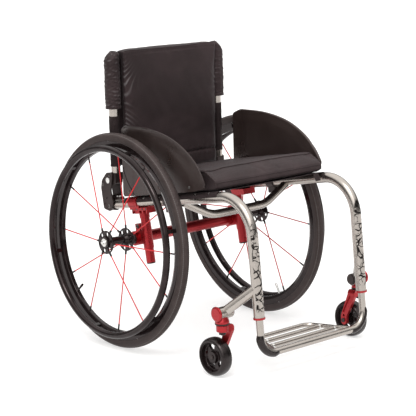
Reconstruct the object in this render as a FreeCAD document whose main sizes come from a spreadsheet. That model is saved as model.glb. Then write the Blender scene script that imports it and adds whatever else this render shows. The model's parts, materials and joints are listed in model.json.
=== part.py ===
import FreeCAD, Part
import math
import os
from types import SimpleNamespace
import Sketcher
from FreeCAD import Placement, Rotation, Vector

# Rigid-frame manual wheelchair. +X is the user's left, -Y is forward, +Z is up, the floor is z = 0 and
# y = 0 is halfway along the whole chair. All sizes are in millimetres and degrees.

DIMENSIONS = {
    # overall stance
    "axle_setback": 111.8,
    "hub_offset": 248.2,
    "camber_angle": 2.5,
    "seat_slope": 9.31,
    "leg_slope": 4.716,
    # side frame tubes
    "rail_offset": 188,
    "frame_tube_radius": 14.3,
    "saddle_wall": 2.8,
    "tube_wall": 1.6,
    "front_bend_radius": 97,
    "bend_setback": 361.2,
    "bend_height": 470.3,
    "rail_end_setback": 202.5,
    "leg_end_height": 160,
    # cross tube and caster arms
    "cross_tube_radius": 11.1,
    "cross_tube_bend": 100,
    "cross_tube_station": 102.5,
    "cross_tube_drop": 54,
    "cross_tube_half_flat": 98,
    "caster_arm_radius": 12.7,
    "caster_arm_height": 236,
    "caster_offset": 251,
    "caster_setback": 316.5,
    "barrel_offset": 245,
    "barrel_radius": 16,
    "barrel_height": 171,
    "barrel_half_length": 21,
    "barrel_cap_radius": 19.5,
    # rear wheels
    "tyre_radius": 296,
    "tyre_half_width": 13,
    "tyre_shoulder": 11,
    "tyre_wall": 3,
    "rim_seat_radius": 273,
    "rim_inner_radius": 250,
    "rim_half_width": 10.5,
    "handrim_ring_radius": 256.1,
    "handrim_tube_radius": 9.5,
    "handrim_offset": 36.6,
    "handrim_tabs": 6,
    "handrim_tab_turn": 14,
    "flange_radius": 32,
    "outer_flange_offset": 38.5,
    "inner_flange_offset": -29.8,
    "flange_thickness": 5,
    "hub_barrel_radius": 12,
    "hub_bearing_radius": 11,
    "hub_bearing_width": 8,
    "hub_outer_end": 46,
    "hub_inner_end": -36,
    "hub_window_radius": 6,
    "hub_window_circle": 24,
    "axle_radius": 6.35,
    "running_gap": 0.05,
    "spokes": 12,
    "spoke_radius": 1.6,
    "nipple_radius": 2.3,
    "nipple_length": 15,
    "button_radius": 4.5,
    # axle mounting
    "camber_tube_radius": 15.875,
    "camber_tube_height": 292.4,
    "camber_tube_half_length": 192,
    "height_tube_offset": 172,
    "height_tube_radius": 12.7,
    "height_socket_wall": 1.6,
    "height_tube_top": -25,
    "height_tube_bottom": -168,
    # casters
    "caster_radius": 50.9,
    "caster_half_width": 17.5,
    "caster_shoulder": 9,
    "caster_core_radius": 41,
    "caster_axle_setback": 286.9,
    "caster_axle_radius": 4,
    "caster_slots": 5,
    "stem_radius": 6,
    "crown_radius": 16,
    "fork_arm_inner": 222,
    "fork_arm_thickness": 9.5,
    "fork_arm_half_width": 9.5,
    # footrest
    "footrest_tube_radius": 9.5,
    "footrest_bend_radius": 47,
    "footrest_drop": 62,
    "footrest_grid_height": 63,
    "grid_depth": 122,
    "grid_loop_radius": 6,
    "grid_bar_radius": 6.5,
    "bumper_radius": 12.9,
    # seat
    "sling_half_width": 192,
    "sling_thickness": 2.4,
    "cushion_half_width": 197,
    "cushion_edge_radius": 12,
    "guard_offset": 203.6,
    "guard_thickness": 2.6,
    "guard_lip_width": 10,
    # backrest
    "post_offset": 189,
    "post_radius": 12.7,
    "post_setback": 182.5,
    "post_bottom": 470,
    "post_top": 792,
    "sleeve_radius": 22,
    "thin_sleeve_radius": 14.1,
    "back_pad_half_width": 165.8,
    "pivot_setback": 197,
    "pivot_height": 448,
    "pivot_radius": 5,
}

SIDES = (("left", 1), ("right", -1))
ORIGIN = Vector(0, 0, 0)
X_AXIS = Vector(1, 0, 0)
Y_AXIS = Vector(0, 1, 0)
Z_AXIS = Vector(0, 0, 1)


class Size(float):
    """A number that remembers the sheet expression it comes from."""

    def __new__(cls, value, text):
        size = super().__new__(cls, value)
        size.text = text
        return size

    def __add__(self, other):
        return Size(float(self) + float(other), f"({self.text} + {text_of(other)})")

    def __radd__(self, other):
        return Size(float(other) + float(self), f"({text_of(other)} + {self.text})")

    def __sub__(self, other):
        return Size(float(self) - float(other), f"({self.text} - {text_of(other)})")

    def __rsub__(self, other):
        return Size(float(other) - float(self), f"({text_of(other)} - {self.text})")

    def __mul__(self, other):
        return Size(float(self) * float(other), f"({self.text} * {text_of(other)})")

    __rmul__ = __mul__

    def __truediv__(self, other):
        return Size(float(self) / float(other), f"({self.text} / {text_of(other)})")

    def __neg__(self):
        return self * -1


def text_of(value):
    return value.text if isinstance(value, Size) else repr(float(value))


def number(value):
    return float(value)


# ---------------------------------------------------------------- document and sheet

doc = FreeCAD.newDocument("wheelchair")
sheet = doc.addObject("Spreadsheet::Sheet", "size")
for row, (name, value) in enumerate(DIMENSIONS.items(), start=1):
    sheet.set(f"A{row}", name)
    sheet.set(f"B{row}", str(value))
    sheet.setAlias(f"B{row}", name)
doc.recompute()
d = SimpleNamespace(**{name: Size(sheet.get(name), f"size.{name}") for name in DIMENSIONS})
sub_parts = []


def keep(item, label):
    """Marks an object as a sub-part: its label becomes the name of its file."""
    item.Label = label
    sub_parts.append(item)
    return item


def bind(item, **sizes):
    """Sets sizes, and ties each one that comes from the sheet to its cell."""
    for name, size in sizes.items():
        setattr(item, name, float(size))
        if isinstance(size, Size):
            item.setExpression(name, size.text)


# ---------------------------------------------------------------- sketches

def attach(sketch, body, plane, offset):
    """Attaches a sketch to one of its body's origin planes, offset along the plane's normal."""
    support = [item for item in body.Origin.OriginFeatures if item.Role == plane][0]
    sketch.AttachmentSupport = (support, [""])
    sketch.MapMode = "FlatFace"
    sketch.AttachmentOffset = Placement(Vector(0, 0, number(offset)), Rotation())
    if isinstance(offset, Size):
        sketch.setExpression("AttachmentOffset.Base.z", offset.text)


def fix_number(sketch, kind, *places):
    """Adds a dimension, tied to the sheet when its value comes from there."""
    *where, value = places
    index = sketch.addConstraint(Sketcher.Constraint(kind, *where, number(value)))
    if isinstance(value, Size):
        sketch.setExpression(f"Constraints[{index}]", value.text)


def fix_point(sketch, geometry, end, x, y):
    """Places one end of a line, or a point, at x, y in the sketch."""
    for kind, axis, value in (("DistanceX", -2, x), ("DistanceY", -1, y)):
        if abs(value) < 1e-9:
            sketch.addConstraint(Sketcher.Constraint("PointOnObject", geometry, end, axis))
        else:
            fix_number(sketch, kind, -1, 1, geometry, end, value)


def corner_ends(points, index, radius):
    """Where a rounded corner's arc meets its two sides, and the arc's centre."""
    corner = points[index]
    back = (points[index - 1] - corner).normalize()
    ahead = (points[(index + 1) % len(points)] - corner).normalize()
    half = back.getAngle(ahead) / 2
    reach = radius / math.tan(half)
    centre = corner + (back + ahead).normalize() * (radius / math.sin(half))
    return corner + back * reach, corner + ahead * reach, centre


def draw(sketch, corners, closed=True):
    """Draws straight sides with tangent arcs. A corner is (x, y) or (x, y, radius)."""
    points = [Vector(number(corner[0]), number(corner[1]), 0) for corner in corners]
    count = len(points)
    arrive, leave, arcs = {}, {}, {}
    for index, corner in enumerate(corners):
        arrive[index] = leave[index] = points[index]
        if len(corner) == 3:
            arrive[index], leave[index], centre = corner_ends(points, index, number(corner[2]))
            turn = (arrive[index] - points[index - 1]).cross(leave[index] - arrive[index]).z
            start, end = (arrive[index], leave[index]) if turn > 0 else (leave[index], arrive[index])
            angles = [math.atan2(p.y - centre.y, p.x - centre.x) for p in (start, end)]
            circle = Part.Circle(centre, Z_AXIS, number(corner[2]))
            arcs[index] = (sketch.addGeometry(Part.ArcOfCircle(circle, *angles)), turn > 0)
    sides = range(count if closed else count - 1)
    lines = {i: sketch.addGeometry(Part.LineSegment(leave[i], arrive[(i + 1) % count])) for i in sides}
    for index, corner in enumerate(corners):
        before = lines.get((index - 1) % count if closed else index - 1)
        after = lines.get(index)
        if index in arcs:
            arc, left_turn = arcs[index]
            first, second = (1, 2) if left_turn else (2, 1)
            point = sketch.addGeometry(Part.Point(points[index]), True)
            sketch.addConstraint(Sketcher.Constraint("Tangent", before, 2, arc, first))
            sketch.addConstraint(Sketcher.Constraint("Tangent", arc, second, after, 1))
            sketch.addConstraint(Sketcher.Constraint("PointOnObject", point, 1, before))
            sketch.addConstraint(Sketcher.Constraint("PointOnObject", point, 1, after))
            fix_number(sketch, "Radius", arc, corner[2])
            fix_point(sketch, point, 1, corner[0], corner[1])
        elif after is None:
            fix_point(sketch, before, 2, corner[0], corner[1])
        else:
            if before is not None:
                sketch.addConstraint(Sketcher.Constraint("Coincident", before, 2, after, 1))
            fix_point(sketch, after, 1, corner[0], corner[1])


def draw_circle(sketch, radius, x=0, y=0):
    circle = sketch.addGeometry(Part.Circle(Vector(number(x), number(y), 0), Z_AXIS, number(radius)))
    fix_number(sketch, "Radius", circle, radius)
    if abs(x) < 1e-9 and abs(y) < 1e-9:
        sketch.addConstraint(Sketcher.Constraint("Coincident", circle, 3, -1, 1))
    else:
        fix_point(sketch, circle, 3, x, y)


def new_sketch(body, plane, offset=0):
    sketch = body.newObject("Sketcher::SketchObject", "outline")
    attach(sketch, body, plane, offset)
    return sketch


# ---------------------------------------------------------------- ways to make a piece

def turned(outline, place=Placement()):
    """A piece turned about its own Z axis. The outline's corners are (radius, height)."""
    body = doc.addObject("PartDesign::Body", "turned")
    sketch = new_sketch(body, "XZ_Plane")
    draw(sketch, outline)
    turn = body.newObject("PartDesign::Revolution", "turn")
    turn.Profile = sketch
    turn.ReferenceAxis = (sketch, ["V_Axis"])
    turn.Angle = 360
    body.Placement = place
    return body


def plate(outline, start, thickness, plane="YZ_Plane", holes=()):
    """A flat piece. On YZ its corners are (y, z) and start is its lower x."""
    body = doc.addObject("PartDesign::Body", "plate")
    sketch = new_sketch(body, plane, start)
    draw(sketch, outline)
    for radius, x, y in holes:
        draw_circle(sketch, radius, x, y)
    pad = body.newObject("PartDesign::Pad", "pad")
    pad.Profile = sketch
    bind(pad, Length=thickness)
    return body


def pattern(body, feature, count):
    """Repeats a feature evenly about the body's own Z axis."""
    axis = [item for item in body.Origin.OriginFeatures if item.Role == "Z_Axis"][0]
    polar = body.newObject("PartDesign::PolarPattern", "around")
    polar.Originals = [feature]
    polar.Axis = (axis, [""])
    polar.Angle = 360
    polar.Occurrences = int(count)
    if isinstance(count, Size):
        polar.setExpression("Occurrences", count.text)
    body.Tip = polar
    return polar


def facing(origin, direction, sideways=None):
    """A placement whose own Z points along direction, and X towards sideways if given."""
    if sideways is None:
        return Placement(origin, Rotation(Z_AXIS, direction))
    return Placement(origin, Rotation(sideways, direction.cross(sideways), direction, "ZXY"))


def pipe(route, bend, radius, wall):
    """A bent tube along points in one plane: straight runs joined by tangent bends."""
    start = route[0]
    heading = (route[1] - start).normalize()
    last = next(p for p in route[2:] if (p - start).cross(heading).Length > 1)
    normal = heading.cross(last - start).normalize()
    place = facing(start, heading, normal.cross(heading))
    local = [place.inverse().multVec(point) for point in route]
    body = doc.addObject("PartDesign::Body", "pipe")
    path = new_sketch(body, "XZ_Plane")
    flat = [(point.x, point.z) for point in local]
    draw(path, [flat[0]] + [(x, z, bend) for x, z in flat[1:-1]] + [flat[-1]], closed=False)
    section = new_sketch(body, "XY_Plane")
    draw_circle(section, radius)
    if wall:
        draw_circle(section, radius - wall)
    sweep = body.newObject("PartDesign::AdditivePipe", "sweep")
    sweep.Profile = section
    sweep.Spine = path
    body.Placement = place
    return body


def rod(radius, length, place):
    """A plain round bar from the placement's origin along its Z."""
    item = doc.addObject("Part::Cylinder", "rod")
    bind(item, Radius=radius, Height=length)
    item.Placement = place
    return item


def block(x, y, z, place, centre=ORIGIN):
    """A box with its centre at a point of the placement's own frame."""
    item = doc.addObject("Part::Box", "block")
    bind(item, Length=x, Width=y, Height=z)
    corner = Vector(number(x), number(y), number(z)) * 0.5
    item.Placement = place.multiply(Placement(centre - corner, Rotation()))
    return item


def fuse(*pieces):
    item = doc.addObject("Part::MultiFuse", "fuse")
    item.Shapes = list(pieces)
    item.Refine = True
    return item


def cut(base, *tools):
    item = doc.addObject("Part::Cut", "cut")
    item.Base = base
    item.Tool = tools[0] if len(tools) == 1 else group(*tools)
    item.Refine = True
    return item


def group(*pieces):
    """Separate solids kept together."""
    item = doc.addObject("Part::Compound", "group")
    item.Links = list(pieces)
    return item


def tube(radius, wall, length, place):
    """A straight tube. Its bore runs out past both ends, so that the ends are open."""
    inner = place.multiply(Placement(Vector(0, 0, -1), Rotation()))
    return cut(rod(radius, length, place), rod(radius - wall, length + 2, inner))


def made(shape, place=Placement()):
    """A sub-part whose shape is worked out with Part's own functions."""
    item = doc.addObject("Part::Feature", "made")
    item.Shape = shape
    item.Placement = place
    return item


# ---------------------------------------------------------------- frames of reference

def tilted(degrees, origin):
    return Placement(origin, Rotation(X_AXIS, -number(degrees)))


def rail_height(y):
    """Height of the seat rail's centre line."""
    slope = math.tan(math.radians(d.seat_slope))
    return number(d.bend_height) - slope * (y + number(d.bend_setback))


def along_rail(x, start):
    """On a seat rail's centre line, facing forward, from a distance along it in the seat frame."""
    return seat.multiply(Placement(Vector(x, start, 0), Rotation(X_AXIS, 90)))


def leg_point(x, z):
    """A point on a leg's centre line."""
    foot = leg_foot.y
    return Vector(x, foot + math.tan(math.radians(d.leg_slope)) * z, z)


# The leg's centre line meets the floor here.
leg_foot = Vector(0, -number(d.bend_setback) - math.tan(math.radians(d.leg_slope)) * d.bend_height, 0)

# Seat frame: origin on the rails' centre line above the axle's height tubes, Y rearward along the rails.
STATION = 90.0
seat = tilted(d.seat_slope, Vector(0, STATION, rail_height(STATION)))

# Leg frame: Z up along the legs, origin where their centre lines meet the floor.
leg = tilted(d.leg_slope, leg_foot)


def wheel_frame(sign):
    """Rear wheel: origin at the wheel plane's centre, Z outboard along the cambered axle."""
    camber = math.radians(d.camber_angle)
    shoulder_ring = d.tyre_radius - d.tyre_shoulder
    tread = d.tyre_half_width - d.tyre_shoulder
    height = shoulder_ring * math.cos(camber) + tread * math.sin(camber) + d.tyre_shoulder
    centre = Vector(sign * number(d.hub_offset), number(d.axle_setback), number(height))
    outboard = Vector(sign * math.cos(camber), 0, math.sin(camber))
    return facing(centre, outboard, Y_AXIS)


def across(sign, x, y, z):
    """A horizontal axis that points outboard."""
    return facing(Vector(sign * number(x), number(y), number(z)), Vector(sign, 0, 0), Y_AXIS)


# ---------------------------------------------------------------- side frames and cross tubes

def side_frame(sign):
    x = sign * number(d.rail_offset)
    rear = Vector(x, number(d.rail_end_setback), rail_height(number(d.rail_end_setback)))
    bend = Vector(x, -number(d.bend_setback), number(d.bend_height))
    foot = leg_point(x, number(d.leg_end_height))
    return pipe([rear, bend, foot], d.front_bend_radius, d.frame_tube_radius, d.tube_wall)


def rail_bar(sign, extra=0.0):
    """The rail's outside as a solid bar, for coping what meets it."""
    return rod(d.frame_tube_radius + extra, 420, along_rail(sign * number(d.rail_offset), 140))


def leg_bar(sign, extra=0.0):
    place = Placement(Vector(sign * number(d.rail_offset), 0, 120), Rotation())
    return rod(d.frame_tube_radius + extra, 200, leg.multiply(place))


def front_cross_tube():
    """U-shaped tube that dips below the seat, square to the rails and coped to them."""
    station = -(number(d.cross_tube_station) + STATION) / math.cos(math.radians(d.seat_slope))
    low = -number(d.cross_tube_drop)
    reach = number(d.rail_offset)
    half_flat = number(d.cross_tube_half_flat)
    end_drop = -8.0
    corners = [(-reach, end_drop), (-half_flat, low), (half_flat, low), (reach, end_drop)]
    route = [seat.multVec(Vector(x, station, z)) for x, z in corners]
    bent = pipe(route, d.cross_tube_bend, d.cross_tube_radius, d.tube_wall)
    return cut(bent, rail_bar(1, 0.02), rail_bar(-1, 0.02))


def barrel_place(sign, along=0.0):
    """On the cross barrel's axis, facing outboard, at a distance from its middle."""
    return across(sign, d.barrel_offset + along, -d.caster_setback, d.barrel_height)


def stem_place(sign, height=0.0):
    """On the caster stem's axis, facing up."""
    return facing(Vector(sign * number(d.caster_offset), -number(d.caster_setback), number(height)), Z_AXIS)


def arm_bar(sign, extra=0.0, short=0.0):
    """The caster arm as a solid bar from the leg's centre line to the barrel's."""
    start = leg_point(sign * number(d.rail_offset), number(d.caster_arm_height))
    reach = barrel_place(sign).Base - start
    return rod(d.caster_arm_radius + extra, reach.Length - short, facing(start, reach))


def caster_arm(sign):
    """Arm from the leg down and out to the cross barrel that carries the caster head."""
    half = d.barrel_half_length
    barrel_wall = 2.2
    overrun = 1.0
    plug_depth = 6.0
    barrel = rod(d.barrel_radius, half * 2, barrel_place(sign, -half))
    bore = rod(d.barrel_radius - barrel_wall, (half + overrun) * 2, barrel_place(sign, -half - overrun))
    plug_relief = rod(d.barrel_radius - 0.6, plug_depth, barrel_place(sign, -half - plug_depth))
    lightening = arm_bar(sign, -d.tube_wall, half / 2)
    return cut(fuse(arm_bar(sign), barrel), bore, plug_relief, lightening, leg_bar(sign, 0.02))


def caster_head(sign):
    """Bearing housing under the barrel, narrowing upwards and coped round it."""
    seat_height, pocket_top, top = 145.2, 153.0, 164.0
    foot, neck, pocket = 18.5, 13.0, 14.0
    outline = [(0, seat_height), (foot, seat_height, 1), (foot, seat_height + 5, 3), (neck, top), (0, top)]
    housing = turned(outline, stem_place(sign))
    half = d.barrel_half_length
    barrel = rod(d.barrel_radius + 0.05, half * 4, barrel_place(sign, -half * 2))
    cap = rod(d.barrel_cap_radius + 0.4, half, barrel_place(sign, half - 0.5))
    bearing_bore = rod(pocket, pocket_top - seat_height + 1, stem_place(sign, seat_height - 1))
    return cut(housing, barrel, cap, bearing_bore, arm_bar(sign, 0.1))


def barrel_cap(sign):
    """Red dished cap with a spigot in the outboard end of the barrel."""
    face = number(d.barrel_half_length)
    rim = number(d.barrel_cap_radius)
    spigot = d.barrel_radius - 2.3
    gap, depth = 0.1, 8.0
    outline = [(0, face - depth), (spigot, face - depth), (spigot, face + gap), (rim - 1, face + gap),
               (rim, face + 2), (rim, face + 5, 1.5), (rim - 4, face + 7), (0, face + 7)]
    return turned(outline, barrel_place(sign))


def barrel_plug(sign):
    """Ribbed plug in the inboard end of the barrel."""
    spigot, depth, gap = 13.7, 8.0, 0.1
    outline = [(0, depth), (0, -4.4), (12, -4.4), (12, -3.2), (14, -3.2), (14, -2), (12.4, -2), (12.4, -1.2),
               (15, -1.2), (15, -gap), (spigot, -gap), (spigot, depth)]
    return turned(outline, barrel_place(sign, -d.barrel_half_length))


def stem_bearing(sign):
    """Flanged stem bearing: its wide rim is the seal seen between head and fork."""
    bore = d.stem_radius + d.running_gap
    seal, body_radius = 19.0, 13.95
    outline = [(bore, 141.6), (seal - 1, 141.6), (seal, 142.4), (seal, 144.2), (seal - 1, 145.1),
               (body_radius, 145.1), (body_radius, 152.8), (bore, 152.8)]
    return turned(outline, stem_place(sign))


def leg_collar(sign):
    """Ring that closes the leg's end and guides the footrest tube."""
    length = 5.5
    outline = [(d.footrest_tube_radius + d.running_gap, -length), (15.6, -length, 1), (15.6, -0.1),
               (d.footrest_tube_radius + d.running_gap, -0.1)]
    foot = leg_point(sign * number(d.rail_offset), number(d.leg_end_height))
    return turned(outline, Placement(foot, leg.Rotation))


# ---------------------------------------------------------------- axle mounting

def height_tube(sign):
    origin = Vector(sign * number(d.height_tube_offset), 0, number(d.height_tube_bottom))
    place = seat.multiply(Placement(origin, Rotation()))
    return tube(d.height_tube_radius, 2, d.height_tube_top - d.height_tube_bottom, place)


def height_tube_cap(sign):
    origin = Vector(sign * number(d.height_tube_offset), 0, number(d.height_tube_bottom))
    outline = [(0, -4), (10.5, -4), (12.5, -2.5), (12.5, -0.1), (10.6, -0.1), (10.6, 6), (0, 6)]
    return turned(outline, seat.multiply(Placement(origin, Rotation())))


def rail_saddle(sign):
    """Collar on the rail with a screw flange below it that holds the height tube."""
    x = sign * number(d.rail_offset)
    flange_x = sign * (number(d.height_tube_offset) + 6)
    collar = rod(d.frame_tube_radius + d.saddle_wall, 36, along_rail(x, 26))
    flange = block(44, 66, 16, seat, Vector(flange_x, -16, -22))
    web = block(26, 40, 12, seat, Vector(x, 4, -12))
    socket = rod(d.height_tube_radius + d.height_socket_wall, 34, seat.multiply(
        Placement(Vector(sign * number(d.height_tube_offset), 0, -44), Rotation())))
    bore = rod(d.height_tube_radius + 0.05, 34, seat.multiply(
        Placement(Vector(sign * number(d.height_tube_offset), 0, -58.95), Rotation())))
    pockets = [block(18, 12, 10, seat, Vector(flange_x + sign * 20, y, -27)) for y in (-38, -20, 10)]
    return cut(fuse(collar, flange, web, socket), rail_bar(sign, 0.05), bore, *pockets)


def camber_place(start):
    """On the camber tube's centre line, facing +X, from x = start."""
    return facing(Vector(start, number(d.axle_setback), number(d.camber_tube_height)), X_AXIS, Y_AXIS)


def camber_clamp(sign):
    """Clamp that joins the camber tube to the height tube, with a recessed pocket on its outer side."""
    x = sign * number(d.height_tube_offset)
    barrel = rod(d.camber_tube_radius + 4.5, 34, camber_place(x - 17))
    local = seat.inverse().multVec(Vector(x, number(d.axle_setback), number(d.camber_tube_height)))
    sleeve = rod(d.height_tube_radius + d.height_socket_wall, 72, seat.multiply(
        Placement(Vector(x, 0, local.z - 30), Rotation())))
    web = block(30, local.y, 36, seat, Vector(x, local.y / 2, local.z + 2))
    lug = block(22, 20, 26, seat, Vector(x, local.y - 14, local.z + 27))
    pocket = block(8, 22, 22, seat, Vector(x + sign * 15, local.y / 2 + 1, local.z + 3))
    height_bore = rod(d.height_tube_radius + 0.05, 120, seat.multiply(
        Placement(Vector(x, 0, local.z - 60), Rotation())))
    camber_bore = rod(d.camber_tube_radius + 0.05, 60, camber_place(x - 30))
    slit = block(50, 30, 2, seat, Vector(x, local.y + 16, local.z))
    return cut(fuse(barrel, sleeve, web, lug), height_bore, camber_bore, pocket, slit)


def camber_tube():
    half = d.camber_tube_half_length
    return tube(d.camber_tube_radius, 1.9, half * 2, camber_place(-number(half)))


def axle_receiver(sign):
    """Angled plug in the camber tube's end that holds the quick-release axle."""
    bore = d.axle_radius + 0.05
    outline = [(bore, -74), (12, -74), (12, -54.6), (15.5, -54.6), (15.5, -50), (13.5, -48), (12, -42),
               (10, -37.6), (bore, -37.6)]
    return turned(outline, wheel_frame(sign))


def release_axle(sign):
    """Fixed axle pin with a head on the outside and a bore for the release button."""
    head = d.hub_outer_end + 0.4
    head_radius, head_depth, chamfer, tail = 7.5, 2.4, 0.9, -78.0
    bore = d.button_radius + d.running_gap
    outline = [(0, tail), (d.axle_radius - 1.5, tail), (d.axle_radius, tail + 2), (d.axle_radius, head),
               (head_radius, head), (head_radius, head + head_depth - chamfer),
               (head_radius - chamfer, head + head_depth), (bore, head + head_depth), (bore, 36), (0, 36)]
    return turned(outline, wheel_frame(sign))


def release_button(sign):
    tip = d.hub_outer_end + 7.5
    outline = [(0, 40), (d.button_radius, 40), (d.button_radius, tip, 1.5), (0, tip)]
    return turned(outline, wheel_frame(sign))


# ---------------------------------------------------------------- rear wheels

def tyre(sign):
    """Tyre as an open casing: its two beads sit on the rim."""
    seat_radius = d.rim_seat_radius + 0.1
    inner = d.tyre_half_width - d.tyre_wall
    casing = d.tyre_radius - d.tyre_wall
    outer, half, shoulder = d.tyre_radius, d.tyre_half_width, d.tyre_shoulder
    bead, bead_round, bead_end = seat_radius + 3, 3.0, 7.0
    inner_round = shoulder - d.tyre_wall
    corners = [(seat_radius, bead_end), (bead, bead_end), (bead, inner), (casing, inner, inner_round),
               (casing, -inner, inner_round), (bead, -inner), (bead, -bead_end), (seat_radius, -bead_end),
               (seat_radius, -half, bead_round), (outer, -half, shoulder), (outer, half, shoulder),
               (seat_radius, half, bead_round)]
    return turned(corners, wheel_frame(sign))


def rim(sign):
    """Deep channel rim, open towards the tyre."""
    inner = d.rim_inner_radius
    top = d.rim_seat_radius
    half = d.rim_half_width
    wall, nose, well, floor = 2.2, 6.0, 5.0, inner + 7
    shoulder, ledge = inner + 9, inner + 12
    outline = [(inner, -nose, 2.5), (shoulder, -half, 3), (top, -half), (top, wall - half),
               (ledge, wall - half), (floor, -well), (floor, well), (ledge, half - wall), (top, half - wall),
               (top, half), (shoulder, half, 3), (inner, nose, 2.5)]
    return turned(outline, wheel_frame(sign))


def handrim(sign):
    """Tubular push ring with tabs that reach in to the rim's side, and a vent hole away from them."""
    turn = Rotation(Z_AXIS, -sign * number(d.handrim_tab_turn))
    place = wheel_frame(sign).multiply(Placement(ORIGIN, turn))
    body = doc.addObject("PartDesign::Body", "handrim")
    section = new_sketch(body, "XZ_Plane")
    for radius in (d.handrim_tube_radius, d.handrim_tube_radius - d.tube_wall):
        draw_circle(section, radius, d.handrim_ring_radius, d.handrim_offset)
    ring = body.newObject("PartDesign::Revolution", "ring")
    ring.Profile = section
    ring.ReferenceAxis = (section, ["V_Axis"])
    ring.Angle = 360
    side = d.rim_half_width + 0.1
    width, tab_inner, tab_outer, tab_reach = 11.0, 253.0, 262.0, 28.6
    foot = new_sketch(body, "XZ_Plane", -width / 2)
    draw(foot, [(tab_inner, side), (tab_outer, side), (tab_outer - 1.5, tab_reach), (tab_inner, tab_reach)])
    tab = body.newObject("PartDesign::Pad", "tab")
    tab.Profile = foot
    tab.Length = width
    pattern(body, tab, d.handrim_tabs)
    body.Placement = place
    vent_radius, vent_depth, vent_angle = 1.5, 12.0, 15
    vent_start = Vector(d.handrim_ring_radius - vent_depth - 2, 0, number(d.handrim_offset))
    spin = Rotation(Z_AXIS, vent_angle)
    vent_place = place.multiply(facing(spin.multVec(vent_start), spin.multVec(X_AXIS)))
    return cut(body, rod(vent_radius, vent_depth, vent_place))


def hub(sign):
    """Slim hub with a bearing pocket at each end and two spoke flanges with windows."""
    bore = d.hub_barrel_radius - 3.5
    pocket = d.hub_bearing_radius
    inner_face = d.inner_flange_offset - d.flange_thickness / 2
    inner_back = d.inner_flange_offset + d.flange_thickness / 2
    outer_back = d.outer_flange_offset - d.flange_thickness / 2
    outer_face = d.outer_flange_offset + d.flange_thickness / 2
    width = d.hub_bearing_width
    boss, root, taper = 15.0, 17.0, 9.0
    rim_edge = d.flange_radius
    start, end, barrel = d.hub_inner_end, d.hub_outer_end, d.hub_barrel_radius
    outline = [(bore, start + width), (pocket, start + width), (pocket, start), (boss, start),
               (boss, inner_face), (rim_edge, inner_face, 1), (rim_edge, inner_back, 1),
               (root, inner_back, 2), (barrel, inner_back + taper), (barrel, outer_back - taper),
               (root, outer_back, 2), (rim_edge, outer_back, 1), (rim_edge, outer_face, 1),
               (root, outer_face), (root, end), (pocket, end), (pocket, end - width), (bore, end - width)]
    body = turned(outline)
    window = new_sketch(body, "XY_Plane", d.hub_outer_end + 1)
    draw_circle(window, d.hub_window_radius, d.hub_window_circle, 0)
    pocket_cut = body.newObject("PartDesign::Pocket", "window")
    pocket_cut.Profile = window
    pocket_cut.Length = 100
    pattern(body, pocket_cut, 6)
    body.Placement = wheel_frame(sign).multiply(Placement(ORIGIN, Rotation(Z_AXIS, 15)))
    return body


def hub_bearings(sign):
    radius = d.hub_bearing_radius - 0.02
    bore = d.axle_radius + d.running_gap
    rings = []
    for start in (d.hub_inner_end, d.hub_outer_end - d.hub_bearing_width + 0.1):
        end = start + d.hub_bearing_width - 0.1
        rings.append(turned([(bore, start), (radius, start), (radius, end), (bore, end)], wheel_frame(sign)))
    return group(*rings)


def spoke_line(index):
    """One spoke in the wheel's frame: even ones leave the inner flange, odd ones the outer."""
    angle = math.radians(360 / d.spokes * index)
    flange = d.inner_flange_offset if index % 2 == 0 else d.outer_flange_offset
    lean = 2.0 if flange > 0 else -2.0
    out = Vector(math.sin(angle), math.cos(angle), 0)
    flange_gap, rim_gap = 0.35, 0.4
    start = out * (number(d.flange_radius) + flange_gap) + Z_AXIS * number(flange)
    end = out * (number(d.rim_inner_radius) - rim_gap) + Z_AXIS * lean
    return start, end


def spokes(sign):
    bars = []
    for index in range(int(d.spokes)):
        start, end = spoke_line(index)
        length = (end - start).Length - number(d.nipple_length)
        bars.append(Part.makeCylinder(number(d.spoke_radius), length, start, end - start))
    return made(Part.makeCompound(bars), wheel_frame(sign))


def nipples(sign):
    """The long nipples at the rim, one to a spoke."""
    ends = []
    for index in range(int(d.spokes)):
        start, end = spoke_line(index)
        along = (end - start).normalize()
        length = number(d.nipple_length) - 0.1
        ends.append(Part.makeCylinder(number(d.nipple_radius), length, end - along * length, along))
    return made(Part.makeCompound(ends), wheel_frame(sign))


# ---------------------------------------------------------------- casters

def caster_place(sign):
    return across(sign, d.caster_offset, -d.caster_axle_setback, d.caster_radius)


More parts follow.
